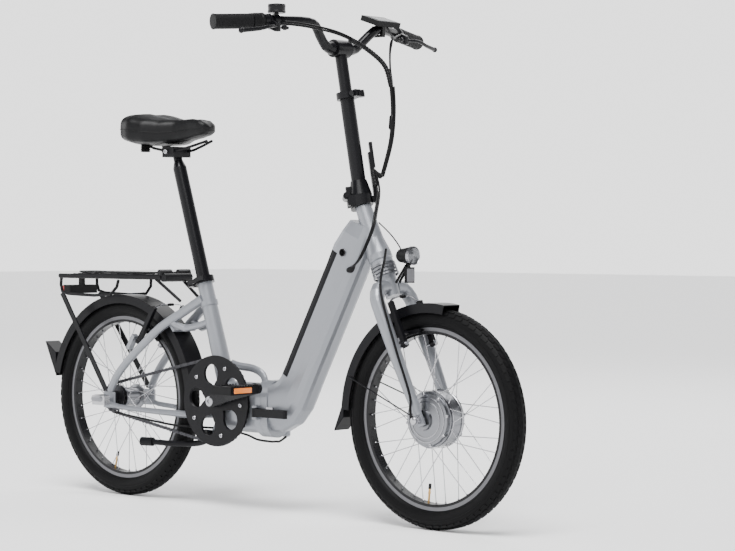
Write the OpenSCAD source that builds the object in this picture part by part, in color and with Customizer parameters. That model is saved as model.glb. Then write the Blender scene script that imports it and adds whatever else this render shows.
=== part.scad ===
// Folding electric city bicycle with 20 inch wheels, a hub motor in front and the battery in the down tube.
// X points forward, Y to the rider's left, Z up. Z = 0 is the ground under both tyres.

/* [Wheels] */
// Distance between the two axles
wheelbase = 1027; // [980:1:1080]
// Outside diameter of each tyre
tyre_d = 500; // [480:1:520]
// Width of each tyre
tyre_w = 47; // [42:1:50]
// Bead seat diameter of the rims
bead_d = 406; // [400:1:410]
// Outside width of the rims
rim_w = 25; // [22:1:27]
// Radial depth of the rims
rim_depth = 17; // [14:1:20]
// Number of spokes in each wheel
spoke_count = 36; // [28:4:36]
// Diameter of a spoke
spoke_d = 2; // [1.8:0.1:2.6]
// Diameter of the hub motor
motor_d = 128; // [120:1:140]
// Width over the front dropouts' inner faces
front_old = 100; // [96:1:104]
// Width over the rear dropouts' inner faces
rear_old = 130; // [126:1:135]
// Diameter of both axles
axle_d = 12; // [10:0.5:14]

/* [Frame] */
// Distance of the cranks ahead of the rear axle
chainstay_x = 370; // [360:1:400]
// Height of the cranks above the rear axle
bracket_rise = 10; // [0:1:20]
// Lean of the seat tube from the vertical
seat_lean = 17.5; // [16:0.5:19]
// Length of the seat tube above the cranks
seat_tube_len = 298; // [280:1:320]
// Diameter of the seat tube at its top
seat_tube_d = 38; // [38:1:42]
// Distance of the fold ahead of the rear axle
fold_x = 513; // [500:1:530]
// Height of the fold's middle
fold_z = 246; // [236:1:256]
// Height of the fold's collars
collar_h = 138; // [130:1:146]
// Width of the fold's collars
collar_w = 80; // [76:1:84]
// Sideways distance of the fold's pin from the middle
pin_y = 50; // [48:1:56]
// Diameter of the fold's pin
pin_d = 10; // [8:0.5:12]
// Lean of the steering axis from the vertical
head_lean = 24.3; // [22:0.1:26]
// Forward offset of the front axle from the steering axis
fork_rake = 4; // [0:1:20]
// Length of the head tube
head_len = 138; // [130:1:150]
// Gap between the front tyre and the fork crown
crown_gap = 63; // [60:1:80]
// Depth of the down tube
tube_depth = 88; // [84:1:96]
// Width of the down tube
tube_w = 76; // [74:1:80]

/* [Battery] */
// Length of the battery
battery_len = 322; // [300:1:325]
// Width of the battery
battery_w = 58; // [50:1:60]
// Depth of the battery inside the tube
battery_depth = 60; // [50:1:62]
// Clearance round the battery in its bay
battery_gap = 1; // [0.5:0.1:2]

/* [Seat] */
// Diameter of the seatpost
seatpost_d = 33.9; // [30:0.1:34]
// Height of the saddle clamp above the cranks, along the seatpost
saddle_up = 640; // [600:1:680]
// Length of seatpost left inside the seat tube
seatpost_in = 112; // [90:1:120]
// Length of the saddle
saddle_len = 270; // [250:1:290]
// Width of the saddle
saddle_w = 208; // [180:1:220]

/* [Steering] */
// Lean of the handlepost from the vertical
post_lean = 10.9; // [8:0.1:14]
// Height of the bar above the handlepost's fold, along the handlepost
bar_up = 349; // [320:1:380]
// Diameter of the handlepost's lower tube
lower_post_d = 34; // [32:0.5:38]
// Diameter of the handlepost's upper tube
upper_post_d = 28.6; // [25.4:0.1:30]
// Half of the handlebar's width
bar_half = 352; // [320:1:360]
// Diameter of the handlebar
bar_d = 22.2; // [22:0.1:25.4]

/* [Drive] */
// Length of the cranks
crank_len = 170; // [160:1:175]
// Upward turn of the right crank from the horizontal
crank_turn = 13.5; // [0:0.5:30]
// Teeth on the chainring
ring_teeth = 52; // [44:1:52]
// Teeth on the rear sprocket
sprocket_teeth = 18; // [16:1:20]
// Sideways distance of the chain from the middle
chain_y = 45; // [42:0.5:48]
// Diameter of the chain guard ring
guard_d = 222; // [218:1:226]

/* [Rack] */
// Length of the rack's deck
rack_len = 405; // [380:1:430]
// Width of the rack's deck at its back
rack_w = 130; // [120:1:140]
// Height of the rack's deck above the rear tyre
rack_gap = 58; // [50:1:70]

/* [Hidden] */

// Running clearance of a shaft in its bore, and gap between parts that pass each other
run_gap = 0.05;
free_gap = 0.4;

// Sides of a smooth swept tube and of a thin cable
tube_sides = 20;
cable_sides = 8;

wheel_r = tyre_d / 2;
rim_r = bead_d / 2;
flange_r = rim_r + 6;
rim_in = flange_r - rim_depth;
guard_gap = 10;
guard_r = wheel_r + guard_gap;
guard_half = 29;
axle_r = axle_d / 2;
chain_pitch = 12.7;
ring_r = chain_pitch / 2 / sin(180 / ring_teeth);
sprocket_r = chain_pitch / 2 / sin(180 / sprocket_teeth);

// Points of the frame, measured from the rear axle's place on the ground
rear_hub = [0, 0, wheel_r];
front_hub = [wheelbase, 0, wheel_r];
bracket = [chainstay_x, 0, wheel_r + bracket_rise];
shell_r = 21;
shell_half = 34;
seat_up = [-sin(seat_lean), 0, cos(seat_lean)];
seat_top = bracket + seat_tube_len * seat_up;
steer_up = [-sin(head_lean), 0, cos(head_lean)];
steer_out = [cos(head_lean), 0, sin(head_lean)];
crown_drop = 215;
fork_drop = crown_drop + crown_gap + wheel_r;
head_top = front_hub + fork_drop * steer_up - fork_rake * steer_out;
post_rise = 30;
post_shift = 4;
post_foot = head_top + post_rise * steer_up + [post_shift, 0, 0];
post_up = [-sin(post_lean), 0, cos(post_lean)];
bar_mid = post_foot + bar_up * post_up;
fold_mid = [fold_x, 0, fold_z];

// The object's rear and front ends, which set the origin in the middle between them
flap_reach = 300;
rear_end = -flap_reach - (wheel_r - 250);
front_end = wheelbase + wheel_r;
origin_x = (rear_end + front_end) / 2;

// ---------- helpers ----------

function unit(v) = v / norm(v);
function mix(a, b, f) = a + (b - a) * f;
function mirror_y(p) = [p.x, -p.y, p.z];
function from_hub(hub, r, a, y = 0) = hub + [r * sin(a), y, r * cos(a)];

// A smooth curve through hand-set points, with k steps between neighbours
function spline_at(p, i, f) =
    let (a = p[max(i - 1, 0)], b = p[i], c = p[i + 1], d = p[min(i + 2, len(p) - 1)])
    0.5 * (2 * b + (c - a) * f + (2 * a - 5 * b + 4 * c - d) * f * f + (3 * b - a - 3 * c + d) * f * f * f);
function smooth(p, k) = concat(
    [for (i = [0:len(p) - 2]) for (j = [0:k - 1]) spline_at(p, i, j / k)],
    [p[len(p) - 1]]
);

function tangent(p, i) = unit(p[min(i + 1, len(p) - 1)] - p[max(i - 1, 0)]);
function ring_at(c, t, ru, rv, n, ref) =
    let (u = unit(cross(ref, t)), v = cross(t, u))
    [for (k = [0:n - 1]) c + ru * cos(360 * k / n) * u + rv * sin(360 * k / n) * v];

// A closed solid through equal rings of points. Sides that twist are cut in two along one diagonal.
module loft(rings, twisted = false) {
    n = len(rings[0]);
    m = len(rings);
    quads = [for (i = [0:m - 2]) for (k = [0:n - 1])
        [i * n + k, (i + 1) * n + k, (i + 1) * n + (k + 1) % n, i * n + (k + 1) % n]];
    sides = twisted
        ? [for (q = quads) for (half = [[q[0], q[1], q[2]], [q[0], q[2], q[3]]]) half]
        : quads;
    start = [for (k = [0:n - 1]) k];
    end = [for (k = [n - 1:-1:0]) (m - 1) * n + k];
    polyhedron(points = [for (r = rings) for (p = r) p], faces = concat([start], sides, [end]),
        convexity = 6);
}

// A round tube along points, with its radius at the first and last point, or one radius for each point
module sweep(p, r, n = tube_sides, ref = [0, 1, 0], flat = 1, twisted = false) {
    m = len(p);
    rr = is_list(r) ? r : [r, r];
    radii = [for (i = [0:m - 1]) len(rr) == m ? rr[i] : mix(rr[0], rr[1], i / (m - 1))];
    loft([for (i = [0:m - 1]) ring_at(p[i], tangent(p, i), radii[i] * flat, radii[i], n, ref)], twisted);
}

module cable(p, r, k = 2, ref = unit([0.31, 0.52, 0.17]))
    sweep(smooth(p, k), r, n = cable_sides, ref = ref, twisted = true);

module at_axis(a, b) {
    d = b - a;
    translate(a) rotate([0, acos(d.z / norm(d)), atan2(d.y, d.x)]) children();
}

module rod(a, b, r) at_axis(a, b) cylinder(h = norm(b - a), r = r, $fn = 48);
module across(p, y1, y2, r, fn = 64) {
    translate([p.x, y1, p.z]) rotate([-90, 0, 0]) cylinder(h = y2 - y1, r = r, $fn = fn);
}

// A flat bar of width w and thickness t between two points, with its flat side facing sideways
module strap(a, b, w, t) {
    d = b - a;
    l = norm(d);
    at_axis(a, b) translate([-w / 2, -t / 2, 0]) cube([w, t, l]);
}

module both_sides() {
    children();
    mirror([0, 1, 0]) children();
}

// Local frames: z runs up the steering axis, the seat tube or the handlepost
module on_steer() translate(head_top) rotate([0, -head_lean, 0]) children();
module on_seat() translate(bracket) rotate([0, -seat_lean, 0]) children();
module on_post() translate(post_foot) rotate([0, -post_lean, 0]) children();
module placed() translate([-origin_x, 0, 0]) children();

function steer_point(x, y, t) = head_top + x * steer_out + [0, y, 0] - t * steer_up;

// ---------- frame, rear half ----------

seat_tube_r = seat_tube_d / 2;
seat_foot_r = 23;
post_bore = seatpost_d / 2 + run_gap;
bore_floor = 26;

module seat_tube_outer(grow = 0) {
    on_seat() cylinder(h = seat_tube_len, r1 = seat_foot_r + grow, r2 = seat_tube_r + grow, $fn = 72);
}

// Weld ring round the seat tube
module seat_ring() on_seat() translate([0, 0, seat_tube_len - 58])
    cylinder(h = 12, r = seat_tube_r + 3, $fn = 72);
module seat_tube() color("silver") {
    difference() {
        union() {
            seat_tube_outer();
            seat_ring();
            across(bracket, -shell_half, shell_half, shell_r + 4);
        }
        on_seat() translate([0, 0, bore_floor]) cylinder(h = seat_tube_len, r = post_bore, $fn = 72);
        across(bracket, -shell_half - 1, shell_half + 1, axle_shell_r + free_gap);
    }
}

fold_face = 18;
link_half = 36;

// Oval of the fold's collars, seen along X
module collar(x1, x2, w, h) {
    translate([x1, 0, fold_z]) rotate([90, 0, 90]) linear_extrude(x2 - x1) oval(w, h);
}
module oval(w, h) {
    translate([0, h / 2 - w / 2]) circle(d = w, $fn = 96);
    translate([0, w / 2 - h / 2]) circle(d = w, $fn = 96);
    translate([-w / 2, w / 2 - h / 2]) square([w, h - w]);
}

knuckle_r = pin_d / 2 + 5;
knuckle_len = 34;
module knuckle(z1, z2, grow = 0) {
    translate([fold_x, pin_y, z1]) cylinder(h = z2 - z1, r = knuckle_r + grow, $fn = 64);
}
module knuckle_web(z1, z2, x1, x2) {
    translate([x1, 0, z1]) cube([x2 - x1, pin_y, z2 - z1]);
}
module pin_bore(grow) {
    translate([fold_x, pin_y, fold_z - collar_h]) cylinder(h = 2 * collar_h, r = pin_d / 2 + grow,
        $fn = 64);
}

module rear_fold_half() color("silver") {
    difference() {
        union() {
            // short tube from the seat tube to the fold
            translate([bracket.x, 0, fold_z]) rotate([90, 0, 90])
                linear_extrude(fold_x - fold_face - bracket.x) oval(2 * link_half, collar_h - 16);
            collar(fold_x - fold_face, fold_x - free_gap / 2, collar_w, collar_h);
            for (s = [-1, 1]) {
                knuckle(fold_z + s * 1.5 * knuckle_len - knuckle_len / 2 + free_gap,
                    fold_z + s * 1.5 * knuckle_len + knuckle_len / 2 - free_gap);
                knuckle_web(fold_z + s * 1.5 * knuckle_len - knuckle_len / 2 + free_gap,
                    fold_z + s * 1.5 * knuckle_len + knuckle_len / 2 - free_gap,
                    fold_x - fold_face, fold_x - free_gap / 2);
            }
            // lugs of the fold's lever, with its pin
            for (s = [-1, 1]) hull() {
                translate([lever_x, lever_y, lever_z + s * 14])
                    cylinder(h = 5, r = 8, center = true, $fn = 32);
                translate([lever_x - 4, -collar_w / 2 + 8, lever_z + s * 14])
                    cube([22, 4, 5], center = true);
            }
            translate([lever_x, lever_y, lever_z]) cylinder(h = 32, r = 3, center = true, $fn = 32);
            // carry handle from the seat tube over to the fold
            sweep(smooth(handle_points, 3), 6, n = 16, flat = 1.6);
        }
        seat_tube_outer();
        across(bracket, -shell_half - 20, shell_half + 20, shell_r + 4);
        pin_bore(0);
        // room for the front half's middle knuckle
        knuckle(fold_z - knuckle_len / 2 - free_gap, fold_z + knuckle_len / 2 + free_gap, 1);
    }
}
handle_points = [
    bracket + [6, 0, 90],
    bracket + [34, 0, 84],
    bracket + [80, 0, 80],
    bracket + [112, 0, 66],
    [fold_x - fold_face - 4, 0, fold_z + collar_h / 2 - 12],
];

module fold_pin() color("dimgray") {
    translate([fold_x, pin_y, fold_z - 2 * knuckle_len])
        cylinder(h = 4 * knuckle_len, r = pin_d / 2, $fn = 64);
    for (s = [-1, 1]) translate([fold_x, pin_y, fold_z + s * (2 * knuckle_len + 1.5)])
        cylinder(h = 3, r = pin_d / 2 + 3, center = true, $fn = 48);
}

stay_y = rear_old / 2 + 4;
dropout = rear_hub + [10, -stay_y, 18];
stay_path = [
    seat_top + [6, -13, -38],
    rear_hub + [218, -34, 213],
    rear_hub + [170, -46, 184],
    rear_hub + [128, -56, 148],
    rear_hub + [70, -64, 98],
    rear_hub + [28, -stay_y, 52],
    dropout,
];
link_path = [rear_hub + [196, -38, 202], rear_hub + [240, -29, 182], rear_hub + [306, -10, 200]];
boss_turn = 33;
boss_r = rim_r - 29;
arm_y = 50;
arm_pin_r = 3.5;
module at_rear_boss() translate(from_hub(rear_hub, boss_r, boss_turn, -arm_y))
    rotate([0, boss_turn, 0]) children();
module arm_pin(x1, x2) rotate([0, 90, 0]) translate([0, 0, x1])
    cylinder(h = x2 - x1, r = arm_pin_r, $fn = 48);

module seat_stays() {
    difference() {
        both_sides() {
            sweep(smooth(stay_path, 2), [12, 9], n = 16);
            // lug and pin for the brake arm
            at_rear_boss() {
                translate([-22, -12, -32]) cube([11, 16, 40]);
                arm_pin(-12, 10);
            }
            // lower link from the stay to the seat tube
            sweep(smooth(link_path, 2), 8.5, n = 16);
        }
        seat_tube_outer();
        seat_ring();
        mudguard_room(rear_hub);
        across(bracket, -60, 60, shell_r + 4);
    }
    // bridge between the stays, over the mudguard
    difference() {
        translate(from_hub(rear_hub, guard_r + 12, 48)) rotate([0, 48, 0]) cube([18, 76, 7], center = true);
        mudguard_room(rear_hub);
        both_sides() sweep(smooth(stay_path, 2), [12, 9], n = 16);
        both_sides() sweep(smooth(link_path, 2), 8.5, n = 16);
    }
}

// Space that a wheel with its mudguard fills
module mudguard_room(hub) across(hub, -guard_half - 2, guard_half + 2, guard_r + 5, 120);

module chainstays() {
    difference() {
        union() {
            both_sides() {
                sweep(smooth([
                    rear_hub + [12, -stay_y, -12],
                    rear_hub + [40, -stay_y + 2, -20],
                    rear_hub + [150, -55, -26],
                    rear_hub + [218, -39, -29],
                    rear_hub + [256, -27, -31],
                    bracket + [-26, -22, -34],
                ], 2), [9, 19], n = 16, flat = 0.55);
                // dropout plate
                translate([-14, -stay_y - 3, wheel_r - 24]) cube([38, 6, 40]);
            }
            // bracket below the cranks that carries the kickstand
            at_axis(stand_pivot - 11 * stand_axis, stand_pivot + 15 * stand_axis)
                cylinder(h = 26, r = 12, $fn = 48);
            strap(stand_pivot + [6, 4, 6], bracket + [-14, 4, -20], 20, 22);
        }
        across(rear_hub, -100, 100, axle_r);
        across(bracket, -60, 60, shell_r + 4);
        across(bracket, -60, -shell_half, 60);
        seat_tube_outer();
        translate([bracket.x, -link_half - 1, fold_z - collar_h / 2])
            cube([100, 2 * link_half + 2, collar_h]);
        both_sides() sweep(smooth(stay_path, 2), [12, 9], n = 16);
        stand_hole(stand_pin_r + run_gap);
        across(rear_hub, -rear_old / 2, rear_old / 2, 120);
        mudguard_room(rear_hub);
    }
}

module rear_stays() color("silver") {
    seat_stays();
    chainstays();
}

// ---------- rear axle, rack, light and mudguard ----------

nut_r = 9;
axle_out = stay_y + 3;
module rear_axle() color("silver") {
    across(rear_hub, -axle_out - 16, axle_out + 16, axle_r);
    for (s = [-1, 1]) translate([0, s * (axle_out + 4.5), wheel_r]) rotate([90, 0, 0])
        difference() {
            cylinder(h = 9, r = nut_r, center = true, $fn = 6);
            cylinder(h = 10, r = axle_r - 0.01, center = true, $fn = 64);
        }
    // gear selector box on the right end
    translate([-8, -axle_out - 30, wheel_r - 9]) difference() {
        translate([-16, 0, -7]) cube([46, 18, 24]);
        translate([8, 0, 9]) rotate([-90, 0, 0]) translate([0, 0, 14])
            cylinder(h = 30, r = axle_r - 0.01, $fn = 64);
    }
}

deck_z = 2 * wheel_r + rack_gap;
deck_back = -205;
deck_front = deck_back + rack_len;
rail_r = 6;
module rack() color("black") {
    difference() {
        union() {
            both_sides() {
                rod([deck_back + rail_r, -rack_w / 2 + rail_r, deck_z],
                    [deck_front - 30, -42, deck_z], rail_r);
                // side rail under the deck
                sweep(smooth([
                    [deck_back + 14, -rack_w / 2 + 4, deck_z - 6],
                    [deck_back + 20, -rack_w / 2 + 2, deck_z - 40],
                    [deck_back + 80, -rack_w / 2, deck_z - 47],
                    [0, -rack_w / 2 + 4, deck_z - 45],
                    [24, -56, deck_z - 8],
                ], 2), 4, n = 12);
                // wide flat stay to the dropout
                strap([deck_back + 22, -rack_w / 2, deck_z - 44],
                    rear_hub + [-4, -axle_out - 2, 22], 14, 4);
                // front strut down to the seat stay
                rod([150, -44, deck_z - 4], seat_top + [-50, -36, -44], 4);
            }
            rod([deck_back + rail_r, -rack_w / 2 + rail_r, deck_z],
                [deck_back + rail_r, rack_w / 2 - rail_r, deck_z], rail_r - 1);
            for (x = [-150, -90, -30, 30, 90])
                translate([x, -rack_half(x), deck_z - 3]) cube([16, 2 * rack_half(x), rail_r + 4]);
            translate([deck_back + 20, -9, deck_z - 3]) cube([rack_len - 60, 18, rail_r + 4]);
            // rounded front block
            translate([deck_front - 22, -46, deck_z]) rotate([-90, 0, 0])
                cylinder(h = 92, r = 11, $fn = 48);
            translate([deck_front - 50, -46, deck_z - 8]) cube([28, 92, 15]);
        }
        both_sides() sweep(smooth(stay_path, 2), [12, 9], n = 16);
        mudguard_room(rear_hub);
        translate([deck_back - 1, -50, deck_z - 48]) cube([34, 100, 26]);
    }
}
function rack_half(x) = mix(rack_w / 2 - rail_r, 42, (x - deck_back) / (deck_front - 30 - deck_back));

module tail_light() {
    color("black") translate([deck_back + 4, -46, deck_z - 46]) cube([28, 92, 22]);
    color("black") translate([deck_back + 18, -6, deck_z - 24]) cube([12, 12, 18]);
    color("red") translate([deck_back - 2, -44, deck_z - 44]) cube([6, 88, 18]);
}

// Curved sheet over a wheel between two turns, measured forward from the top
module guard_arc(hub, a1, a2) {
    translate(hub) rotate([90, 0, 0]) rotate([0, 0, 90 - a2]) rotate_extrude(angle = a2 - a1, $fn = 180)
        difference() {
            translate([guard_r - 20, -guard_half]) square([22, 2 * guard_half]);
            translate([guard_r - 27, -guard_half + 2]) square([27, 2 * guard_half - 4]);
        }
}

module rear_mudguard() color("black") {
    difference() {
        guard_arc(rear_hub, -78, 84);
        seat_tube_outer(2);
    }
    // flap at its end
    hull() for (y = [-22, 22]) {
        translate(from_hub(rear_hub, guard_r + 0.5, -80, y)) sphere(d = 3, $fn = 12);
        translate(from_hub(rear_hub, guard_r + 20, -68, y)) sphere(d = 3, $fn = 12);
        translate([rear_end + 1.5, y, wheel_r + 132]) sphere(d = 3, $fn = 12);
    }
}

// ---------- seat ----------

clamp_h = 16;
clamp_r = seatpost_d / 2 + 8;
ear_x = clamp_r + 4;

// Slotted clamp ring with two ears and the skewer through them, its ears towards +X
module clamp_ring(bore, outer, ear) {
    difference() {
        union() {
            cylinder(h = clamp_h, r = outer, $fn = 72);
            translate([outer - 8, -9, 0]) cube([ear - outer + 16, 18, clamp_h]);
        }
        translate([0, 0, -1]) cylinder(h = clamp_h + 2, r = bore, $fn = 72);
        translate([bore - 4, -1.5, -1]) cube([60, 3, clamp_h + 2]);
    }
    translate([ear, 12.6, clamp_h / 2]) rotate([90, 0, 0]) cylinder(h = 28, r = 3, $fn = 32);
    translate([ear, -10, clamp_h / 2]) rotate([90, 0, 0]) cylinder(h = 6, r = 6, $fn = 32);
}
// Its lever: a round barrel at the skewer's end and an arm that lies along the ring
module clamp_cam(ear, arm) {
    translate([ear, 20, 0]) cylinder(h = clamp_h, r = 7, $fn = 48);
    translate([ear - arm, 25.5, clamp_h / 2 - 5]) cube([arm, 6, 10]);
}
module at_seat_clamp() on_seat() translate([0, 0, seat_tube_len + 0.2]) rotate([0, 0, 180]) children();
module seat_clamp() color("black") at_seat_clamp() clamp_ring(post_bore, clamp_r, ear_x);
module seat_lever() color("black") at_seat_clamp() clamp_cam(ear_x, 58);

module seatpost() color("black") {
    on_seat() {
        translate([0, 0, seat_tube_len - seatpost_in])
            cylinder(h = saddle_up - 40 - seat_tube_len + seatpost_in, r = seatpost_d / 2, $fn = 72);
        translate([0, 0, saddle_up - 40]) cylinder(h = 18, r1 = seatpost_d / 2, r2 = 11, $fn = 72);
        translate([0, 0, saddle_up - 22]) cylinder(h = 22, r = 11, $fn = 48);
    }
}

saddle_mid = bracket + saddle_up * seat_up;
rail_y = 22;
module saddle_rails() color("dimgray") {
    p = saddle_mid;
    both_sides() sweep(smooth([
        p + [-88, -rail_y - 12, 30],
        p + [-60, -rail_y, 12],
        p + [0, -rail_y, 4],
        p + [40, -rail_y, 6],
        p + [118, -8, 26],
    ], 2), 3.5, n = 10);
    difference() {
        translate(p + [-20, -30, -12]) cube([40, 60, 26]);
        on_seat() translate([0, 0, saddle_up - 30]) cylinder(h = 30, r = 11, $fn = 48);
        both_sides() sweep(smooth([
            p + [-88, -rail_y - 12, 30],
            p + [-60, -rail_y, 12],
            p + [0, -rail_y, 4],
            p + [40, -rail_y, 6],
            p + [118, -8, 26],
        ], 2), 3.5, n = 10);
    }
}

// Half widths and heights of the saddle along its length
saddle_back = saddle_mid.x - 127;
saddle_low = saddle_mid.z + 34;
saddle_shape = [
    [0.00, 0.62, 30, 46], [0.06, 0.86, 22, 58], [0.2, 1, 12, 62], [0.4, 0.86, 10, 56],
    [0.55, 0.52, 12, 50], [0.7, 0.3, 14, 48], [0.88, 0.25, 18, 46], [0.97, 0.2, 22, 42], [1.0, 0.1, 28, 38],
];
function saddle_ring(s) =
    let (x = saddle_back + s[0] * saddle_len, w = s[1] * saddle_w / 2, low = saddle_low - 12 + s[2] - 10,
        top = saddle_low - 12 + s[3])
    [for (a = [0:15:345]) [x, w * cos(a), (low + top) / 2 + (top - low) / 2 * sign(sin(a))
        * pow(abs(sin(a)), 0.7)]];
module saddle() color("black") {
    difference() {
        loft([for (s = saddle_shape) saddle_ring(s)]);
        translate(saddle_mid + [-40, -40, -20]) cube([80, 80, 36]);
        both_sides() sweep(smooth([
            saddle_mid + [-88, -rail_y - 12, 30],
            saddle_mid + [-60, -rail_y, 12],
            saddle_mid + [0, -rail_y, 4],
            saddle_mid + [40, -rail_y, 6],
            saddle_mid + [118, -8, 26],
        ], 2), 3.5, n = 10);
    }
}

// ---------- kickstand ----------

stand_pin_r = 5;
stand_pivot = bracket + [-55, 0, -90];
stand_axis = unit([0.238, 0.961, -0.14]);
stand_out = 20;
stand_path = [
    stand_pivot + [0, -stand_out, 0],
    stand_pivot + [-12, -stand_out - 2, -14],
    stand_pivot + [-46, -stand_out - 6, -22],
    stand_pivot + [-100, -stand_out - 24, -24],
    stand_pivot + [-160, -stand_out - 42, -22],
];
module stand_hole(r) at_axis(stand_pivot - 40 * stand_axis, stand_pivot + 16 * stand_axis)
    cylinder(h = 56, r = r, $fn = 48);
module kickstand() color("black") {
    at_axis(stand_pivot - (stand_out + 8) * stand_axis, stand_pivot - (stand_out - 8) * stand_axis)
        cylinder(h = 16, r = 12, $fn = 48);
    sweep(smooth(stand_path, 3), [8, 7], n = 16, ref = [0.3, 1, 0.2]);
    at_axis(stand_path[4] + [4, 1, 0], stand_path[4] + [-30, -8, 0]) cylinder(h = 34, r = 11, $fn = 48);
    at_axis(stand_pivot - 20 * stand_axis, stand_pivot + 14 * stand_axis)
        cylinder(h = 34, r = stand_pin_r, $fn = 48);
}

// ---------- frame, front half ----------

lever_x = fold_x - 10;
lever_y = -collar_w / 2 - 9;
lever_z = fold_z - 7;
lever_len = 108;
module fold_lever() color("black") {
    difference() {
        union() {
            translate([lever_x, lever_y, lever_z]) cylinder(h = 22, r = 8, center = true, $fn = 48);
            translate([lever_x, lever_y - 7, lever_z - 10]) cube([lever_len - 8, 12, 20]);
            translate([lever_x + lever_len - 8, lever_y - 1, lever_z])
                cylinder(h = 20, r = 6, center = true, $fn = 48);
        }
        translate([lever_x, lever_y, lever_z]) cylinder(h = 60, r = 3 + run_gap, center = true, $fn = 32);
        translate([lever_x + 40, lever_y - 4, lever_z + 4]) cube([22, 6, 20]);
    }
}
module fold_latch() color("silver") {
    translate([lever_x + 40 + free_gap, lever_y - 4 + free_gap, lever_z + 4 + 3])
        cube([22 - 2 * free_gap, 6 - 2 * free_gap, 8]);
}

low_point = fold_mid + [100, 0, 60];
high_point = head_top + [-45, 0, -150];
tube_dir = unit(high_point - low_point);
tube_out = [tube_dir.z, 0, -tube_dir.x];
tube_half = tube_depth / 2;
bay_start = 18;
cover_t = 20;

// Section of the down tube: w is the half width at its back, depth runs across the tube in the frame's plane
function tube_section(c, dir, half, w) =
    let (t = [cos(dir), 0, sin(dir)], out = [sin(dir), 0, -cos(dir)],
        outline = [
            [-1, 0.82], [-0.93, 0.94], [-0.72, 0.98], [0, 0.99], [0.45, 0.94], [0.75, 0.78],
            [0.93, 0.55], [1, 0.3],
        ],
        half_ring = [for (q = outline) c + q[0] * half * out - [0, q[1] * w, 0]])
    concat(half_ring, [for (i = [7:-1:0]) mirror_y(half_ring[i])]);

tube_angle = atan2(tube_dir.z, tube_dir.x);
tube_rings = [
    tube_section(fold_mid + [20, 0, 4], 0, 58, tube_w / 2),
    tube_section(fold_mid + [44, 0, 6], 8, 58, tube_w / 2),
    tube_section(fold_mid + [66, 0, 17], 26, 55, tube_w / 2),
    tube_section(fold_mid + [85, 0, 36], 45, 49, tube_w / 2),
    tube_section(low_point, tube_angle - 4, tube_half + 1, tube_w / 2),
    tube_section(mix(low_point, high_point, 0.12), tube_angle, tube_half, tube_w / 2),
    tube_section(mix(low_point, high_point, 0.5), tube_angle, tube_half, tube_w / 2),
    tube_section(high_point, tube_angle, tube_half, tube_w / 2),
    tube_section(head_top + [-22, 0, -104], tube_angle + 2, tube_half + 1, tube_w / 2 - 1),
    tube_section(head_top + [-4, 0, -68], tube_angle + 5, tube_half - 5, 32),
    tube_section(head_top + [8, 0, -40], tube_angle + 9, tube_half - 12, 24),
];

// Battery bay, open to the back of the tube
module along_tube() {
    translate(low_point - tube_half * tube_out) rotate([0, 90 - tube_angle, 0]) children();
}
module bay(g) {
    along_tube() translate([-10, -battery_w / 2 - g, bay_start - g])
        cube([battery_depth + 10 + g, battery_w + 2 * g, battery_len + 2 * g]);
}
module cover_step(g) {
    along_tube() translate([-20, -tube_w / 2 - 5, bay_start - 6 - g])
        cube([20 + cover_t + g, tube_w + 10, battery_len + 12 + 2 * g]);
}

head_r_top = 19;
head_r_low = 28.6;
module head_outer() {
    on_steer() rotate([180, 0, 0]) rotate_extrude($fn = 96) polygon([
        [0, 0], [head_r_top, 0], [head_r_top + 3, head_len * 0.6], [head_r_low, head_len * 0.88],
        [head_r_low, head_len - 3], [head_r_low - 3, head_len], [0, head_len],
    ]);
}

module down_tube() {
    difference() {
        loft(tube_rings);
        bay(battery_gap);
        cover_step(battery_gap);
        head_outer();
        lock_hole(lock_r + run_gap, 22);
        front_fold_solid();
    }
}

module front_fold_solid() {
    collar(fold_x + free_gap / 2, fold_x + fold_face + 3, collar_w, collar_h);
}
module front_fold_half() {
    difference() {
        union() {
            front_fold_solid();
            knuckle(fold_z - knuckle_len / 2, fold_z + knuckle_len / 2);
            knuckle_web(fold_z - knuckle_len / 2, fold_z + knuckle_len / 2, fold_x + free_gap / 2,
                fold_x + fold_face);
        }
        pin_bore(run_gap);
        for (s = [-1, 1]) knuckle(fold_z + s * 1.5 * knuckle_len - knuckle_len / 2 - free_gap,
            fold_z + s * 1.5 * knuckle_len + knuckle_len / 2 + free_gap, 1);
    }
}

steerer_r = 14.3;
module head_tube() {
    difference() {
        head_outer();
        on_steer() rotate([180, 0, 0]) translate([0, 0, -1])
            cylinder(h = head_len + 2, r = steerer_r + run_gap, $fn = 72);
    }
}

module front_frame() color("silver") {
    down_tube();
    front_fold_half();
    head_tube();
}

module battery() color("black") {
    intersection() {
        loft(tube_rings);
        cover_step(0);
    }
    along_tube() translate([2, -battery_w / 2, bay_start])
        cube([battery_depth - 2, battery_w, battery_len]);
}

lock_r = 10.5;
lock_spot = high_point + 46 * tube_dir - 8 * tube_out;
module lock_hole(r, depth) across(lock_spot, -tube_w, -tube_w / 2 + depth - 2, r);
module battery_lock() color("dimgray") across(lock_spot, -tube_w / 2 - 1, -tube_w / 2 + 18, lock_r);

// ---------- fork and steering ----------

leg_y = 60;
tip_y = front_old / 2 + 5;
leg_path = [
    steer_point(0, -14, crown_drop - 12),
    steer_point(0, -42, crown_drop - 8),
    steer_point(0, -leg_y + 2, crown_drop + 16),
    steer_point(0, -leg_y, crown_drop + 46),
    steer_point(fork_rake / 2, -leg_y, fork_drop - 150),
    steer_point(fork_rake, -tip_y - 2, fork_drop - 40),
    steer_point(fork_rake, -tip_y, fork_drop - 12),
];
module at_front_boss() translate(steer_point(fork_rake, -arm_y, fork_drop - boss_r))
    rotate([0, -head_lean, 0]) children();
front_arm_x = 24;

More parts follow.
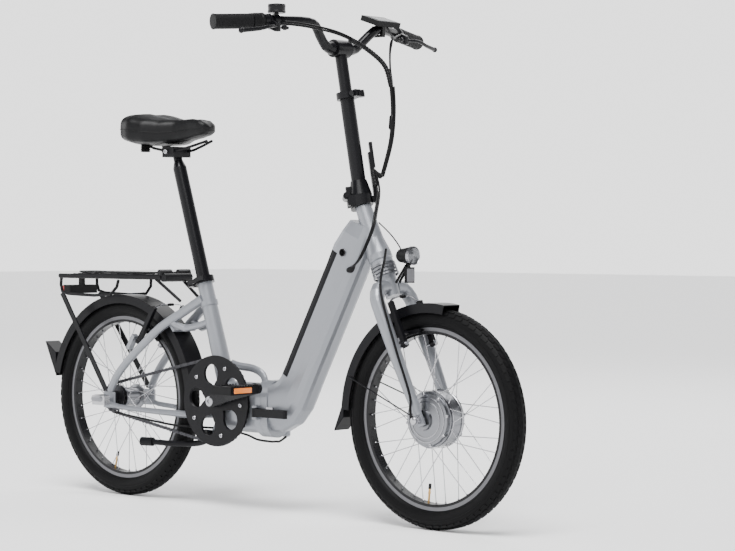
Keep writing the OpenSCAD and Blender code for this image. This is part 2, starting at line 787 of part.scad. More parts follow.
module fork() color("silver") {
    difference() {
        union() {
            // steerer, lower race and crown
            on_steer() rotate([180, 0, 0]) {
                translate([0, 0, -1]) cylinder(h = crown_drop - 28, r = steerer_r, $fn = 72);
                translate([0, 0, head_len + free_gap]) cylinder(h = 9, r = 27, $fn = 72);
                translate([0, 0, head_len + 9]) cylinder(h = 34, r1 = 26, r2 = 21, $fn = 72);
                translate([0, 0, head_len + 43]) cylinder(h = crown_drop - head_len - 32, r1 = 21,
                    r2 = 17, $fn = 72);
            }
            both_sides() {
                sweep(smooth(leg_path, 2), [17, 17, 17, 17, 17, 16.5, 16.5, 16, 15, 13.5, 12, 10,
                    9], n = 20);
                // dropout plate
                at_axis(steer_point(fork_rake, -tip_y, fork_drop - 30),
                    steer_point(fork_rake, -tip_y, fork_drop + 14))
                    translate([-10, -3, 0]) cube([20, 6, 44]);
                // pin for the brake arm
                at_front_boss() arm_pin(4, front_arm_x + 10);
            }
        }
        across(front_hub, -90, 90, axle_r);
        across(front_hub, -front_old / 2 + 0.5, front_old / 2 - 0.5, motor_d / 2 + 6);
    }
}

module front_axle() color("silver") {
    across(front_hub, -tip_y - 18, tip_y + 18, axle_r);
    for (s = [-1, 1]) translate([wheelbase, s * (tip_y + 7.8), wheel_r]) rotate([90, 0, 0]) difference() {
        cylinder(h = 9, r = nut_r, center = true, $fn = 6);
        cylinder(h = 10, r = axle_r - 0.01, center = true, $fn = 64);
    }
}

hinge_out = 33;
hinge_r = 9;
base_r = 27;
post_pin_r = 4.5;
hinge_turn = 45;
// z runs up the handlepost and x towards the pin
module on_post_hinge() on_post() rotate([0, 0, 180 + hinge_turn]) children();

module post_base() color("black") {
    difference() {
        union() {
            on_post() translate([0, 0, -44]) cylinder(h = 44 - free_gap / 2, r = base_r, $fn = 72);
            on_post_hinge() for (s = [-1, 1]) {
                translate([hinge_out, s * 17, 0]) rotate([90, 0, 0])
                    cylinder(h = 12, r = hinge_r, center = true, $fn = 48);
                translate([10, s * 17 - 6, -24]) cube([hinge_out - 10, 12, 24 - free_gap / 2]);
            }
            on_post_hinge() translate([-base_r - 12, -9, -22]) cube([20, 18, 16]);
        }
        on_steer() translate([0, 0, -60]) cylinder(h = 61, r = 60, $fn = 72);
        on_post_hinge() {
            translate([hinge_out, 0, 0]) rotate([90, 0, 0])
                cylinder(h = 80, r = post_pin_r, center = true, $fn = 48);
            translate([hinge_out - 12, -10.6, -24]) cube([40, 21.2, 60]);
            translate([-base_r - 7, 0, -14]) rotate([90, 0, 0])
                cylinder(h = 60, r = 3 + run_gap, center = true, $fn = 32);
        }
    }
    on_post_hinge() translate([hinge_out, 0, 0]) rotate([90, 0, 0])
        cylinder(h = 54, r = post_pin_r, center = true, $fn = 48);
}

module post_lever() color("black") {
    on_post_hinge() {
        translate([-base_r - 7, 0, -14]) {
            rotate([90, 0, 0]) cylinder(h = 30, r = 3, center = true, $fn = 32);
            for (s = [-1, 1]) translate([0, s * 12.5, 0]) rotate([90, 0, 0])
                cylinder(h = 5.4, r = 8, center = true, $fn = 32);
        }
        difference() {
            translate([-base_r - 12, -15, -14]) cube([9, 30, 110]);
            translate([-base_r - 13, -9.8, -30]) cube([14, 19.6, 30]);
        }
        translate([-base_r - 16, -11, 60]) cube([8, 22, 60]);
    }
}

clamp_at = 228;
post_clamp_r = lower_post_d / 2 + 7;
post_ear_x = post_clamp_r + 5;
module lower_post() color("black") {
    difference() {
        union() {
            on_post() {
                translate([0, 0, free_gap / 2]) cylinder(h = 34, r1 = base_r,
                    r2 = lower_post_d / 2 + 2, $fn = 72);
                translate([0, 0, 30]) cylinder(h = clamp_at - 30, r = lower_post_d / 2, $fn = 72);
            }
            on_post_hinge() {
                translate([hinge_out, 0, 0]) rotate([90, 0, 0])
                    cylinder(h = 20, r = hinge_r, center = true, $fn = 48);
                translate([10, -10, free_gap / 2]) cube([hinge_out - 10, 20, 22]);
            }
        }
        on_post() {
            translate([0, 0, 40]) cylinder(h = 260, r = upper_post_d / 2 + run_gap, $fn = 72);
        }
        on_post_hinge() {
            translate([hinge_out, 0, 0]) rotate([90, 0, 0])
                cylinder(h = 80, r = post_pin_r + run_gap, center = true, $fn = 48);
            for (s = [-1, 1]) translate([hinge_out, s * 17, 0]) rotate([90, 0, 0])
                cylinder(h = 13, r = hinge_r + 1, center = true, $fn = 48);
        }
    }
    // clamp that holds the upper tube
    on_post() translate([0, 0, clamp_at]) clamp_ring(upper_post_d / 2 + run_gap, post_clamp_r, post_ear_x);
}

module clamp_lever() color("black") on_post() translate([0, 0, clamp_at]) clamp_cam(post_ear_x, 48);

bar_clamp_r = 21;
bar_mid_r = 15.9;
module upper_post() color("black") {
    difference() {
        union() {
            on_post() translate([0, 0, 110]) cylinder(h = bar_up - 110, r = upper_post_d / 2, $fn = 72);
            across(bar_mid, -24, 24, bar_clamp_r);
        }
        across(bar_mid, -30, 30, bar_mid_r);
    }
}

bar_path = [
    [0, 0, 0], [0, 30, 0], [2, 52, 4], [8, 78, 26], [15, 100, 46], [14, 124, 53], [3, 165, 53],
    [-14, 210, 51], [-64, bar_half, 42],
];
function bar_point(i, s) = bar_mid + [bar_path[i].x, s * bar_path[i].y, bar_path[i].z];
bar_curve = smooth([for (i = [0:7]) bar_point(i, -1)], 2);
grip_dir = unit(bar_point(8, -1) - bar_point(7, -1));

module handlebar() color("black") {
    difference() {
        both_sides() {
            sweep([for (p = bar_curve) p], [15.9, 15.9, 15.9, 13, 12, 11.1, 11.1, 11.1, 11.1, 11.1,
                11.1, 11.1, 11.1, 11.1, 11.1],
                n = 20, ref = [0, 0.1, 1]);
            rod(bar_point(7, -1) - 2 * grip_dir, bar_point(8, -1) - 1 * grip_dir, bar_d / 2);
            // brake lever clamp
            difference() {
                union() {
                    rod(grip_at(8), grip_at(24), 16);
                    brake_body();
                }
                rod(grip_at(-4), grip_at(40), bar_d / 2);
                translate(lever_pivot) cylinder(h = 60, r = 2.5, center = true, $fn = 32);
                translate(lever_pivot) cylinder(h = 7.6, r = 12, center = true, $fn = 48);
            }
            translate(lever_pivot) cylinder(h = 20, r = 2.5, center = true, $fn = 32);
        }
    }
}
function grip_at(d) = bar_point(7, -1) + d * grip_dir;
lever_pivot = grip_at(14) + [30, 2, -16];
module brake_body() {
    hull() {
        translate(grip_at(12) + [6, 0, -6]) cube([16, 14, 18], center = true);
        translate(lever_pivot) cylinder(h = 19, r = 7, center = true, $fn = 32);
    }
}
lever_tip = grip_at(132) + [66, 0, -24];
module brake_lever() {
    difference() {
        union() {
            translate(lever_pivot) cylinder(h = 7, r = 7, center = true, $fn = 48);
            sweep(smooth([
                lever_pivot + [3, -5, 0],
                lever_pivot + [12, -34, -1],
                mix(lever_pivot, lever_tip, 0.6) + [10, 0, 0],
                lever_tip,
            ], 3), [3.4, 5], n = 12, ref = [0, 0, 1]);
            translate(lever_tip) sphere(r = 6.5, $fn = 32);
        }
        translate(lever_pivot) cylinder(h = 20, r = 2.5 + run_gap, center = true, $fn = 32);
    }
}
module right_brake_lever() color("black") brake_lever();
module left_brake_lever() color("black") mirror([0, 1, 0]) brake_lever();

grip_len = 96;
grip_end = norm(bar_point(8, -1) - bar_point(7, -1));
module grip(from) {
    at_axis(grip_at(from), grip_at(grip_end)) difference() {
        cylinder(h = grip_end - from, r = 16.5, $fn = 64);
        translate([0, 0, -1]) cylinder(h = grip_end - from, r = bar_d / 2 + run_gap, $fn = 64);
    }
}
module grips() color("dimgray") {
    grip(grip_end - grip_len);
    mirror([0, 1, 0]) grip(grip_end - grip_len - 28);
}
module twist_shifter() color("black") {
    at_axis(grip_at(26), grip_at(grip_end - grip_len - 1)) difference() {
        cylinder(h = grip_end - grip_len - 1 - 26, r = 18, $fn = 64);
        translate([0, 0, -1]) cylinder(h = 80, r = bar_d / 2 + run_gap, $fn = 64);
    }
}

bell_spot = grip_at(-6) + [4, 0, 18];
module bell() color("black") {
    difference() {
        union() {
            translate(bell_spot + [0, 0, -6]) cylinder(h = 6, r = 5, $fn = 32);
            translate(bell_spot + [0, 0, -1]) cylinder(h = 20, r = 20, $fn = 64);
            rod(grip_at(-12), grip_at(0), 15);
        }
        translate(bell_spot + [0, 0, 15]) cylinder(h = 30, r = 3, $fn = 32);
        rod(grip_at(-30), grip_at(30), bar_d / 2 + 1.4);
        translate(bell_spot + [0, 0, -3]) rotate([0, 0, 150]) translate([10, -5, 0]) cube([30, 10, 9]);
    }
}
module bell_striker() color("black") {
    translate(bell_spot) rotate([0, 0, 150]) {
        translate([14, 0, -2]) cylinder(h = 7, r = 3, $fn = 32);
        translate([16, -2, 0]) cube([14, 4, 4]);
    }
}

display_mid = bar_mid + [26, 112, 71];
module display() color("black") {
    translate(display_mid) rotate([0, 18, 0]) translate([-26, -40, -7]) cube([56, 80, 13]);
    difference() {
        translate(bar_point(5, 1) + [-3, -2, -4]) rotate([0, 0, 10]) translate([-14, -6, -14])
            cube([30, 12, 26]);
        both_sides() sweep([for (p = bar_curve) p], 12.6, n = 20, ref = [0, 0.1, 1]);
        translate(display_mid) rotate([0, 18, 0]) translate([-40, -60, -7.1]) cube([90, 120, 40]);
    }
}

// ---------- headlight and front mudguard ----------

light_mid = steer_point(0, 0, crown_drop - 46) + [62, 0, 42];
module headlight() color("black") {
    translate(light_mid) rotate([0, 90, 0]) {
        cylinder(h = 34, r1 = 15, r2 = 21, center = true, $fn = 64);
        translate([0, 0, 17]) cylinder(h = 6, r = 21, $fn = 64);
    }
    translate(light_mid + [8, -15, -62]) cube([5, 30, 36]);
    translate(light_mid + [2, -4, -30]) cube([8, 8, 16]);
    difference() {
        both_sides() rod(light_mid + [4, -5, -22], steer_point(20, -6, crown_drop - 10), 3);
        on_steer() rotate([180, 0, 0]) cylinder(h = crown_drop, r = 27.2, $fn = 72);
        both_sides() sweep(smooth(leg_path, 2), 17.2, n = 20);
    }
}

module front_mudguard() color("black") {
    guard_arc(front_hub, -88, 10);
    hull() for (y = [-24, 24]) {
        translate(from_hub(front_hub, guard_r + 0.5, -84, y)) sphere(d = 3, $fn = 12);
        translate(from_hub(front_hub, guard_r + 1, -92, y)) sphere(d = 3, $fn = 12);
        translate(from_hub(front_hub, guard_r + 30, -98, y)) sphere(d = 3, $fn = 12);
    }
    // wire stays to the axle
    both_sides() rod(from_hub(front_hub, guard_r - 8, -70, -guard_half - 1.6),
        front_hub + [-14, -tip_y - 5, 6], 1.6);
}

// ---------- wheels ----------

module turned(hub) translate(hub) rotate([90, 0, 0]) children();

module tyre(hub) turned(hub) rotate_extrude($fn = 180) {
    c = wheel_r - tyre_w / 2;
    difference() {
        translate([c, 0]) circle(d = tyre_w, $fn = 48);
        translate([c, 0]) circle(d = tyre_w - 8, $fn = 48);
        translate([c - 60, -rim_w / 2 - 0.3]) square([flange_r + 0.3 - c + 60, rim_w + 0.6]);
    }
}
module rim(hub) turned(hub) rotate_extrude($fn = 180) difference() {
    translate([rim_in, -rim_w / 2]) square([rim_depth, rim_w]);
    translate([rim_r - 2, -rim_w / 2 + 2.5]) square([20, rim_w - 5]);
    translate([rim_in + 2, -rim_w / 2 + 2.5]) square([rim_depth - 12, rim_w - 5]);
}
module front_tyre() color("black") tyre(front_hub);
module rear_tyre() color("black") tyre(rear_hub);
module front_rim() color("silver") rim(front_hub);
module rear_rim() color("silver") rim(rear_hub);

// Spokes cross in pairs: each leaves its flange forwards or backwards in turn
module spokes(hub, flange, y, sweep_turn) {
    step = 360 / spoke_count;
    turned(hub) for (i = [0:spoke_count - 1]) {
        side = i % 2 == 0 ? 1 : -1;
        lean = floor(i / 2) % 2 == 0 ? 1 : -1;
        a = i * step;
        b = a + lean * sweep_turn;
        rod(flange * [cos(b), sin(b), 0] + [0, 0, side * (y + lean * 2.2)],
            (rim_in - 0.05) * [cos(a), sin(a), 0] + [0, 0, side * 3], spoke_d / 2);
    }
}
motor_flange = motor_d / 2 + 1.2;
module front_spokes() color("gainsboro") spokes(front_hub, motor_flange, 20, 24);
hub_flange = 31;
module rear_spokes() color("gainsboro") spokes(rear_hub, hub_flange + 1.2, 28, 50);

module motor() color("silver") turned(front_hub) rotate_extrude($fn = 120) {
    half = front_old / 2 - 4;
    difference() {
        polygon([
            [axle_r + run_gap, -half], [22, -half], [24, -half + 6], [46, -half + 12],
                [motor_d / 2 - 6, -half + 16],
            [motor_d / 2 - 4, -24], [motor_d / 2, -24], [motor_d / 2, 24], [motor_d / 2 - 4, 24],
            [motor_d / 2 - 6, half - 16], [46, half - 12], [24, half - 6], [22, half],
                [axle_r + run_gap, half],
        ]);
    }
}
module rear_hub_shell() turned(rear_hub) rotate_extrude($fn = 96) {
    polygon([
        [axle_r + run_gap, -44], [16, -44], [20, -40], [hub_flange, -31], [hub_flange, -25], [24, -22],
        [24, 22], [hub_flange, 25], [hub_flange, 31], [20, 34], [20, 36], [axle_r + run_gap, 36],
    ]);
}
module rear_hub() color("silver") rear_hub_shell();

// ---------- drive ----------

axle_shell_r = 9;
crank_dir = [cos(crank_turn), 0, sin(crank_turn)];
pedal_r_mid = bracket + crank_len * crank_dir;
pedal_l_mid = bracket - crank_len * crank_dir;
arm_in = 57;
arm_out = 84;
module crank(dir, s) {
    end = bracket + crank_len * dir;
    // arm, from the boss at the axle to the pedal's eye
    difference() {
        union() {
            hull() {
                across(bracket, s > 0 ? arm_in : -arm_in - 14, s > 0 ? arm_in + 14 : -arm_in, 16, 32);
                across(mix(bracket, end, 0.4), s > 0 ? arm_in + 4 : -arm_in - 17,
                    s > 0 ? arm_in + 17 : -arm_in - 4, 12, 32);
            }
            hull() {
                across(mix(bracket, end, 0.4), s > 0 ? arm_in + 4 : -arm_in - 17,
                    s > 0 ? arm_in + 17 : -arm_in - 4, 12, 32);
                across(end, s > 0 ? arm_out - 14 : -arm_out, s > 0 ? arm_out : -arm_out + 14, 13, 32);
            }
        }
        across(end, -120, 120, 5);
    }
    across(end, s > 0 ? arm_out - 14 : -pedal_out, s > 0 ? pedal_out : -arm_out + 14, 5, 48);
}
pedal_out = arm_out + 20;
module cranks() color("black") {
    crank(crank_dir, -1);
    crank(-crank_dir, 1);
    across(bracket, -arm_in, arm_in, axle_shell_r - 1, 64);
}

module chainring() color("black") {
    difference() {
        union() {
            across(bracket, -chain_y - 1, -chain_y + 1, ring_r - 3, 120);
            across(bracket, -chain_y - 6, -chain_y - 4, guard_d / 2, 120);
            across(bracket, -chain_y - 6, -chain_y + 1, ring_r - 8, 120);
            for (i = [0:ring_teeth - 1]) turned(bracket) rotate([0, 0, 360 * (i + 0.5) / ring_teeth])
                translate([ring_r - 4, -2, chain_y - 1]) linear_extrude(2)
                    polygon([[0, -1], [6, 1], [6, 3], [0, 5]]);
        }
        // five teardrop windows between the spider's arms
        for (i = [0:4]) turned(bracket) rotate([0, 0, 72 * i + 18 + crank_turn])
            linear_extrude(200, center = true) {
            translate([67, 0]) circle(r = 24, $fn = 64);
            polygon([[34, 0], [56, 21], [67, 24], [67, -24], [56, -21]]);
        }
        across(bracket, -80, 0, axle_shell_r - 1 + 0.01, 64);
    }
}

module sprocket() color("dimgray") {
    difference() {
        union() {
            across(rear_hub, -chain_y - 1, -chain_y + 1, sprocket_r - 3, 72);
            for (i = [0:sprocket_teeth - 1]) turned(rear_hub)
                rotate([0, 0, 360 * (i + 0.5) / sprocket_teeth])
                translate([sprocket_r - 4, -2, chain_y - 1]) linear_extrude(2)
                    polygon([[0, -1], [6, 1], [6, 3], [0, 5]]);
            across(rear_hub, -chain_y - 8, -chain_y + 0.4, 17, 64);
        }
        across(rear_hub, -90, 0, axle_r + run_gap, 64);
    }
}

// Outline of a belt round the sprocket and the chainring, d outside their pitch circles
span = bracket - rear_hub;
span_len = norm(span);
wrap = asin((ring_r - sprocket_r) / span_len);
function belt(d) = concat(
    [for (a = [90 + wrap:(180 - 2 * wrap) / 24:270.01 - wrap]) (sprocket_r + d) * [cos(a), sin(a)]],
    [for (a = [-90 - wrap:(180 + 2 * wrap) / 36:90.01 + wrap]) [span_len, 0] + (ring_r + d)
        * [cos(a), sin(a)]]
);
module chain() color("dimgray") {
    translate([0, -chain_y, wheel_r]) rotate([90, -atan2(span.z, span.x), 0]) for (s = [-1, 1])
        translate([0, 0, s * 2.3 - 0.6]) linear_extrude(1.2) difference() {
            polygon(belt(4));
            polygon(belt(-3.5));
        }
}

// Folding pedal, drawn at the right side: a block that turns on the axle, and a cage hinged to its outer end
block_y = arm_out + 2;
block_w = 26;
cage_y = block_y + block_w;
cage_w = 82;
module at_pedal(mid, s) translate([mid.x, 0, mid.z]) mirror([0, s, 0]) children();
module pedal_block() {
    difference() {
        union() {
            translate([-15, -block_y - block_w + 4, -11]) cube([30, block_w - 4, 22]);
            translate([-15, -cage_y + 2, 0]) rotate([0, 90, 0]) cylinder(h = 30, r = 9, $fn = 48);
        }
        translate([0, -block_y + 1, 0]) rotate([90, 0, 0]) cylinder(h = 21, r = 5 + run_gap, $fn = 48);
        translate([-20, -cage_y + 2, 0]) rotate([0, 90, 0]) cylinder(h = 60, r = 3 + run_gap, $fn = 32);
    }
}
module pedal_cage() {
    translate([-23, -cage_y + 2, 0]) rotate([0, 90, 0]) cylinder(h = 46, r = 3, $fn = 32);
    for (k = [-1, 1]) {
        translate([k * 19.4, -cage_y + 2, 0]) rotate([0, 90, 0])
            cylinder(h = 8, r = 9, center = true, $fn = 48);
        translate([k * 19.4 - 4, -cage_y - 14, -9]) cube([8, 16, 18]);
    }
    difference() {
        translate([-32, -cage_y - cage_w, -10]) cube([64, cage_w - 12, 20]);
        for (k = [-1, 1]) translate([k * 16 - 10, -cage_y - cage_w + 9, -20]) cube([20, cage_w - 30, 40]);
    }
    // reflectors front and back
    for (k = [-1, 1]) translate([k * 33.5 - 1.5, -cage_y - cage_w + 4, -7]) cube([3, cage_w - 20, 14]);
}
module right_pedal_block() color("black") at_pedal(pedal_r_mid, 0) pedal_block();
module right_pedal() color("black") at_pedal(pedal_r_mid, 0) pedal_cage();
module left_pedal_block() color("black") at_pedal(pedal_l_mid, 1) pedal_block();
module left_pedal() color("black") at_pedal(pedal_l_mid, 1) pedal_cage();

// ---------- brakes ----------

// One brake arm, at a wheel's right side: z runs up the arm from its pin and y towards the rim
pad_gap = 2.2;
pad_turn = 18;
module brake_arm(forward) {
    pad_in = arm_y - rim_w / 2 - pad_gap;
    difference() {
        union() {
            rotate([0, 90, 0]) cylinder(h = 12, r = 8, center = true, $fn = 48);
            translate([-6, -5, 0]) cube([12, 10, 104]);
        }
        rotate([0, 90, 0]) cylinder(h = 40, r = arm_pin_r + run_gap, center = true, $fn = 48);
    }
    translate([-forward, pad_in - 9, -boss_r]) rotate([-90, 0, 0])
        rotate([0, 0, asin(forward / rim_r) - pad_turn / 2 - 90])
        rotate_extrude(angle = pad_turn, $fn = 180) translate([boss_r + 22, 0]) square([10, 9]);
    translate([0, 4, 28]) rotate([-90, 0, 0]) cylinder(h = pad_in - 12, r = 4, $fn = 32);
}
module front_arm() at_front_boss() translate([front_arm_x, 0, 0]) brake_arm(front_arm_x);
module rear_arm() at_rear_boss() brake_arm(0);
module front_brake_right() color("black") front_arm();
module front_brake_left() color("black") mirror([0, 1, 0]) front_arm();
module rear_brake_right() color("black") rear_arm();
module rear_brake_left() color("black") mirror([0, 1, 0]) rear_arm();

// ---------- cables ----------

module bar_cables() color("black") {
    cable([
        grip_at(-4) + [26, 8, -6], bar_mid + [40, -150, 40], bar_mid + [52, -60, 28], bar_mid + [62, 20, 0],
        bar_mid + [96, 48, -40], bar_mid + [112, 54, -90], bar_mid + [120, 50, -150],
            bar_mid + [122, 40, -220],
        bar_mid + [108, 26, -300],
    ], 5);
    cable([
        mirror_y(grip_at(-4)) + [26, -8, -6], bar_mid + [44, 150, 36], bar_mid + [70, 100, 16],
        bar_mid + [98, 66, -40], bar_mid + [107, 63, -80],
    ], 3.5);
}
module frame_cables() color("black") {
    cable([
        steer_point(64, -4, -60), steer_point(60, -8, -10), steer_point(48, -28, 40),
            steer_point(34, -46, 80),
        high_point + 62 * tube_dir + 50 * tube_out + [0, -tube_w / 2 - 8, 0],
        high_point + 30 * tube_dir + 34 * tube_out + [0, -tube_w / 2 - 2, 0],
    ], 4, ref = [1, 0, 0]);
}
module fork_cables() color("black") {
    cable([
        steer_point(40, -40, crown_drop - 60), steer_point(26, -62, crown_drop - 10),
        steer_point(24, -leg_y - 14, crown_drop + 50), steer_point(20, -leg_y - 16, fork_drop - 160),
        steer_point(14, -tip_y - 18, fork_drop - 60), steer_point(6, -tip_y - 23, fork_drop - 26),
        steer_point(0, -tip_y - 24, fork_drop - 1),
    ], 3);
}
module rear_cables() color("black") {
    cable([
        rear_hub + [40, -stay_y - 12, -34], rear_hub + [150, -66, -48], rear_hub + [236, -38, -60],
        rear_hub + [286, -6, -62], rear_hub + [328, 24, -66], bracket + [40, 16, -84],
        [fold_x - 50, 2, fold_z - collar_h / 2 - 9], [fold_x, 0, fold_z - collar_h / 2 - 11],
        [fold_x + 26, 0, fold_z - collar_h / 2 - 8], [fold_x + 47, 0, fold_z - collar_h / 2 + 4],
    ], 3);
}

placed() seat_tube();
placed() rear_fold_half();
placed() rear_stays();
placed() fold_pin();
placed() rear_axle();
placed() rack();
placed() tail_light();
placed() rear_mudguard();
placed() seat_clamp();
placed() chain();
placed() rear_cables();
placed() kickstand();
placed() seatpost();
placed() saddle_rails();
placed() saddle();
placed() seat_lever();
placed() fold_lever();
placed() fold_latch();
placed() front_frame();
placed() battery();
placed() battery_lock();
placed() frame_cables();
placed() fork();
placed() post_base();
placed() front_axle();
placed() front_mudguard();
placed() headlight();
placed() fork_cables();
placed() post_lever();
placed() lower_post();
placed() clamp_lever();
placed() upper_post();
placed() handlebar();
placed() grips();
placed() display();
placed() bell();
placed() bell_striker();
placed() twist_shifter();
placed() bar_cables();
placed() right_brake_lever();
placed() left_brake_lever();
placed() front_tyre();
placed() front_rim();
placed() front_spokes();
placed() motor();
placed() rear_tyre();
placed() rear_rim();
placed() rear_spokes();
placed() rear_hub();
placed() cranks();
placed() chainring();
placed() sprocket();
placed() right_pedal_block();
placed() right_pedal();
placed() left_pedal_block();
placed() left_pedal();
placed() front_brake_right();
placed() front_brake_left();
placed() rear_brake_right();
placed() rear_brake_left();
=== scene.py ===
import math

import bpy
import numpy as np
from mathutils import Matrix, Vector


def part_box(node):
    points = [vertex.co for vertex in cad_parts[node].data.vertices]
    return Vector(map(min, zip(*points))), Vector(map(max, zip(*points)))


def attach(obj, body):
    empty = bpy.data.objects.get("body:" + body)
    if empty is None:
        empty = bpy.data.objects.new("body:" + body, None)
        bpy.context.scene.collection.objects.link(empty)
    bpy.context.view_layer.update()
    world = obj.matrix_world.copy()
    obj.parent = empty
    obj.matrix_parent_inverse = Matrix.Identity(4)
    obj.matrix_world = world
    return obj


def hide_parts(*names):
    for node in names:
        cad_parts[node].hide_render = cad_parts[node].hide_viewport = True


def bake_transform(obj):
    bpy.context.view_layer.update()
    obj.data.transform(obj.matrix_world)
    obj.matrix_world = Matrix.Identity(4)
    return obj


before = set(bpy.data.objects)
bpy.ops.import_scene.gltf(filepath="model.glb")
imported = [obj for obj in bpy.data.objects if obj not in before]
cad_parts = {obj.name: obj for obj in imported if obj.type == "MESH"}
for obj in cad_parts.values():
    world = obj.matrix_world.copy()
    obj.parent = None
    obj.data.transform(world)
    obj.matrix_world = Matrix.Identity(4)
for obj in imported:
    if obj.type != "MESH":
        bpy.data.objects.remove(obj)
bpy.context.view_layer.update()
scene = bpy.context.scene

# The record's origin lies this far ahead of the rear axle, and both axles are this high
OX = 0.4885
WHEELBASE = 1.027
AXLE_Z = 0.25

# ---------- camera ----------
cam_data = bpy.data.cameras.new("camera")
cam_data.lens = 108.96
cam_data.sensor_width = 36
cam = bpy.data.objects.new("camera", cam_data)
scene.collection.objects.link(cam)
cam.location = (4.2478 - OX, -3.8447, 0.6569)
aim = Vector((0.8198 - OX, 0, 0.5709)) - cam.location
level = aim.to_track_quat("-Z", "Y").to_matrix()
cam.rotation_euler = (level @ Matrix.Rotation(math.radians(0.147), 3, "Z")).to_euler()
scene.camera = cam


# ---------- materials ----------
def material(
    name, color, rough=0.5, metal=0.0, coat=0.0, bump=0.0, scale=300.0, spread=0.0, spec=0.5, alpha=1.0
):
    """A principled material whose roughness and relief vary a little by noise."""
    m = bpy.data.materials.new(name)
    m.use_nodes = True
    nt = m.node_tree
    b = nt.nodes["Principled BSDF"]
    b.inputs["Base Color"].default_value = (*color, 1)
    b.inputs["Roughness"].default_value = rough
    b.inputs["Metallic"].default_value = metal
    b.inputs["Coat Weight"].default_value = coat
    b.inputs["Coat Roughness"].default_value = 0.12
    b.inputs["Specular IOR Level"].default_value = spec
    b.inputs["Alpha"].default_value = alpha
    if bump or spread:
        tc = nt.nodes.new("ShaderNodeTexCoord")
        noise = nt.nodes.new("ShaderNodeTexNoise")
        noise.inputs["Scale"].default_value = scale
        noise.inputs["Detail"].default_value = 4
        nt.links.new(tc.outputs["Object"], noise.inputs["Vector"])
        if bump:
            bp = nt.nodes.new("ShaderNodeBump")
            bp.inputs["Strength"].default_value = bump
            bp.inputs["Distance"].default_value = 0.0006
            nt.links.new(noise.outputs["Fac"], bp.inputs["Height"])
            nt.links.new(bp.outputs["Normal"], b.inputs["Normal"])
        if spread:
            mr = nt.nodes.new("ShaderNodeMapRange")
            mr.inputs["To Min"].default_value = max(0.02, rough - spread)
            mr.inputs["To Max"].default_value = rough + spread
            nt.links.new(noise.outputs["Fac"], mr.inputs["Value"])
            nt.links.new(mr.outputs["Result"], b.inputs["Roughness"])
    return m


PAINT = material("silver_paint", (0.23, 0.24, 0.262), 0.36, 0.5, 0.2, bump=0.02, scale=900, spread=0.03)
BLACK = material(
    "black_paint", (0.004, 0.004, 0.005), 0.26, 0.0, 0.0, spec=0.2, bump=0.03, scale=500, spread=0.05
)
BLACK_SATIN = material(
    "black_satin", (0.004, 0.004, 0.005), 0.38, 0.0, 0.0, spec=0.14, bump=0.08, scale=700, spread=0.06
)
PLASTIC = material(
    "black_plastic", (0.005, 0.005, 0.0055), 0.42, 0.0, 0.0, spec=0.12, bump=0.15, scale=1200, spread=0.08
)
GUARD = material(
    "guard_plastic", (0.004, 0.004, 0.005), 0.3, 0.0, 0.0, spec=0.14, bump=0.06, scale=900, spread=0.05
)
ALLOY = material("polished_alloy", (0.36, 0.36, 0.38), 0.22, 1.0, 0.0, bump=0.03, scale=400, spread=0.06)
ALLOY_SATIN = material("satin_alloy", (0.22, 0.225, 0.24), 0.3, 1.0, 0.0, bump=0.05, scale=500, spread=0.08)
RIM = material(
    "rim_black", (0.006, 0.006, 0.007), 0.28, 0.0, 0.0, spec=0.2, bump=0.03, scale=500, spread=0.05
)
RIM_FACE = material("rim_face", (0.13, 0.13, 0.138), 0.3, 1.0, 0.0, bump=0.06, scale=800, spread=0.08)
STEEL = material("steel", (0.45, 0.45, 0.47), 0.25, 1.0, 0.0, bump=0.03, scale=500, spread=0.06)
DARK_STEEL = material("dark_steel", (0.05, 0.05, 0.055), 0.35, 0.9, 0.0, bump=0.05, scale=600, spread=0.08)
TYRE = material(
    "tyre", (0.0022, 0.0022, 0.0025), 0.55, 0.0, 0.0, bump=0.3, scale=700, spread=0.08, spec=0.1
)
RUBBER = material(
    "rubber", (0.004, 0.004, 0.0045), 0.55, 0.0, 0.0, bump=0.3, scale=900, spread=0.06, spec=0.15
)
SADDLE = material(
    "saddle_cover", (0.003, 0.003, 0.0035), 0.42, 0.0, 0.0, bump=0.3, scale=450, spread=0.06, spec=0.2
)
CABLE = material(
    "cable", (0.004, 0.004, 0.0045), 0.35, 0.0, 0.0, spec=0.15, bump=0.03, scale=900, spread=0.05
)
AMBER = material("amber", (0.80, 0.20, 0.01), 0.18, 0.0, 0.5, bump=0.35, scale=600)
RED = material("red_lens", (0.45, 0.012, 0.01), 0.15, 0.0, 0.5, bump=0.3, scale=500)
CLEAR = material("clear_lens", (0.16, 0.165, 0.175), 0.1, 0.7, 0.2, bump=0.3, scale=300)
WHITE_REFLECTOR = material("white_reflector", (0.10, 0.10, 0.11), 0.15, 0.3, 0.2, bump=0.35, scale=600)
BRASS = material("brass", (0.62, 0.38, 0.14), 0.3, 1.0, 0.0, bump=0.03, scale=500)
SCREEN = material("screen", (0.02, 0.025, 0.03), 0.08, 0.0, 0.6, bump=0.02, scale=300)

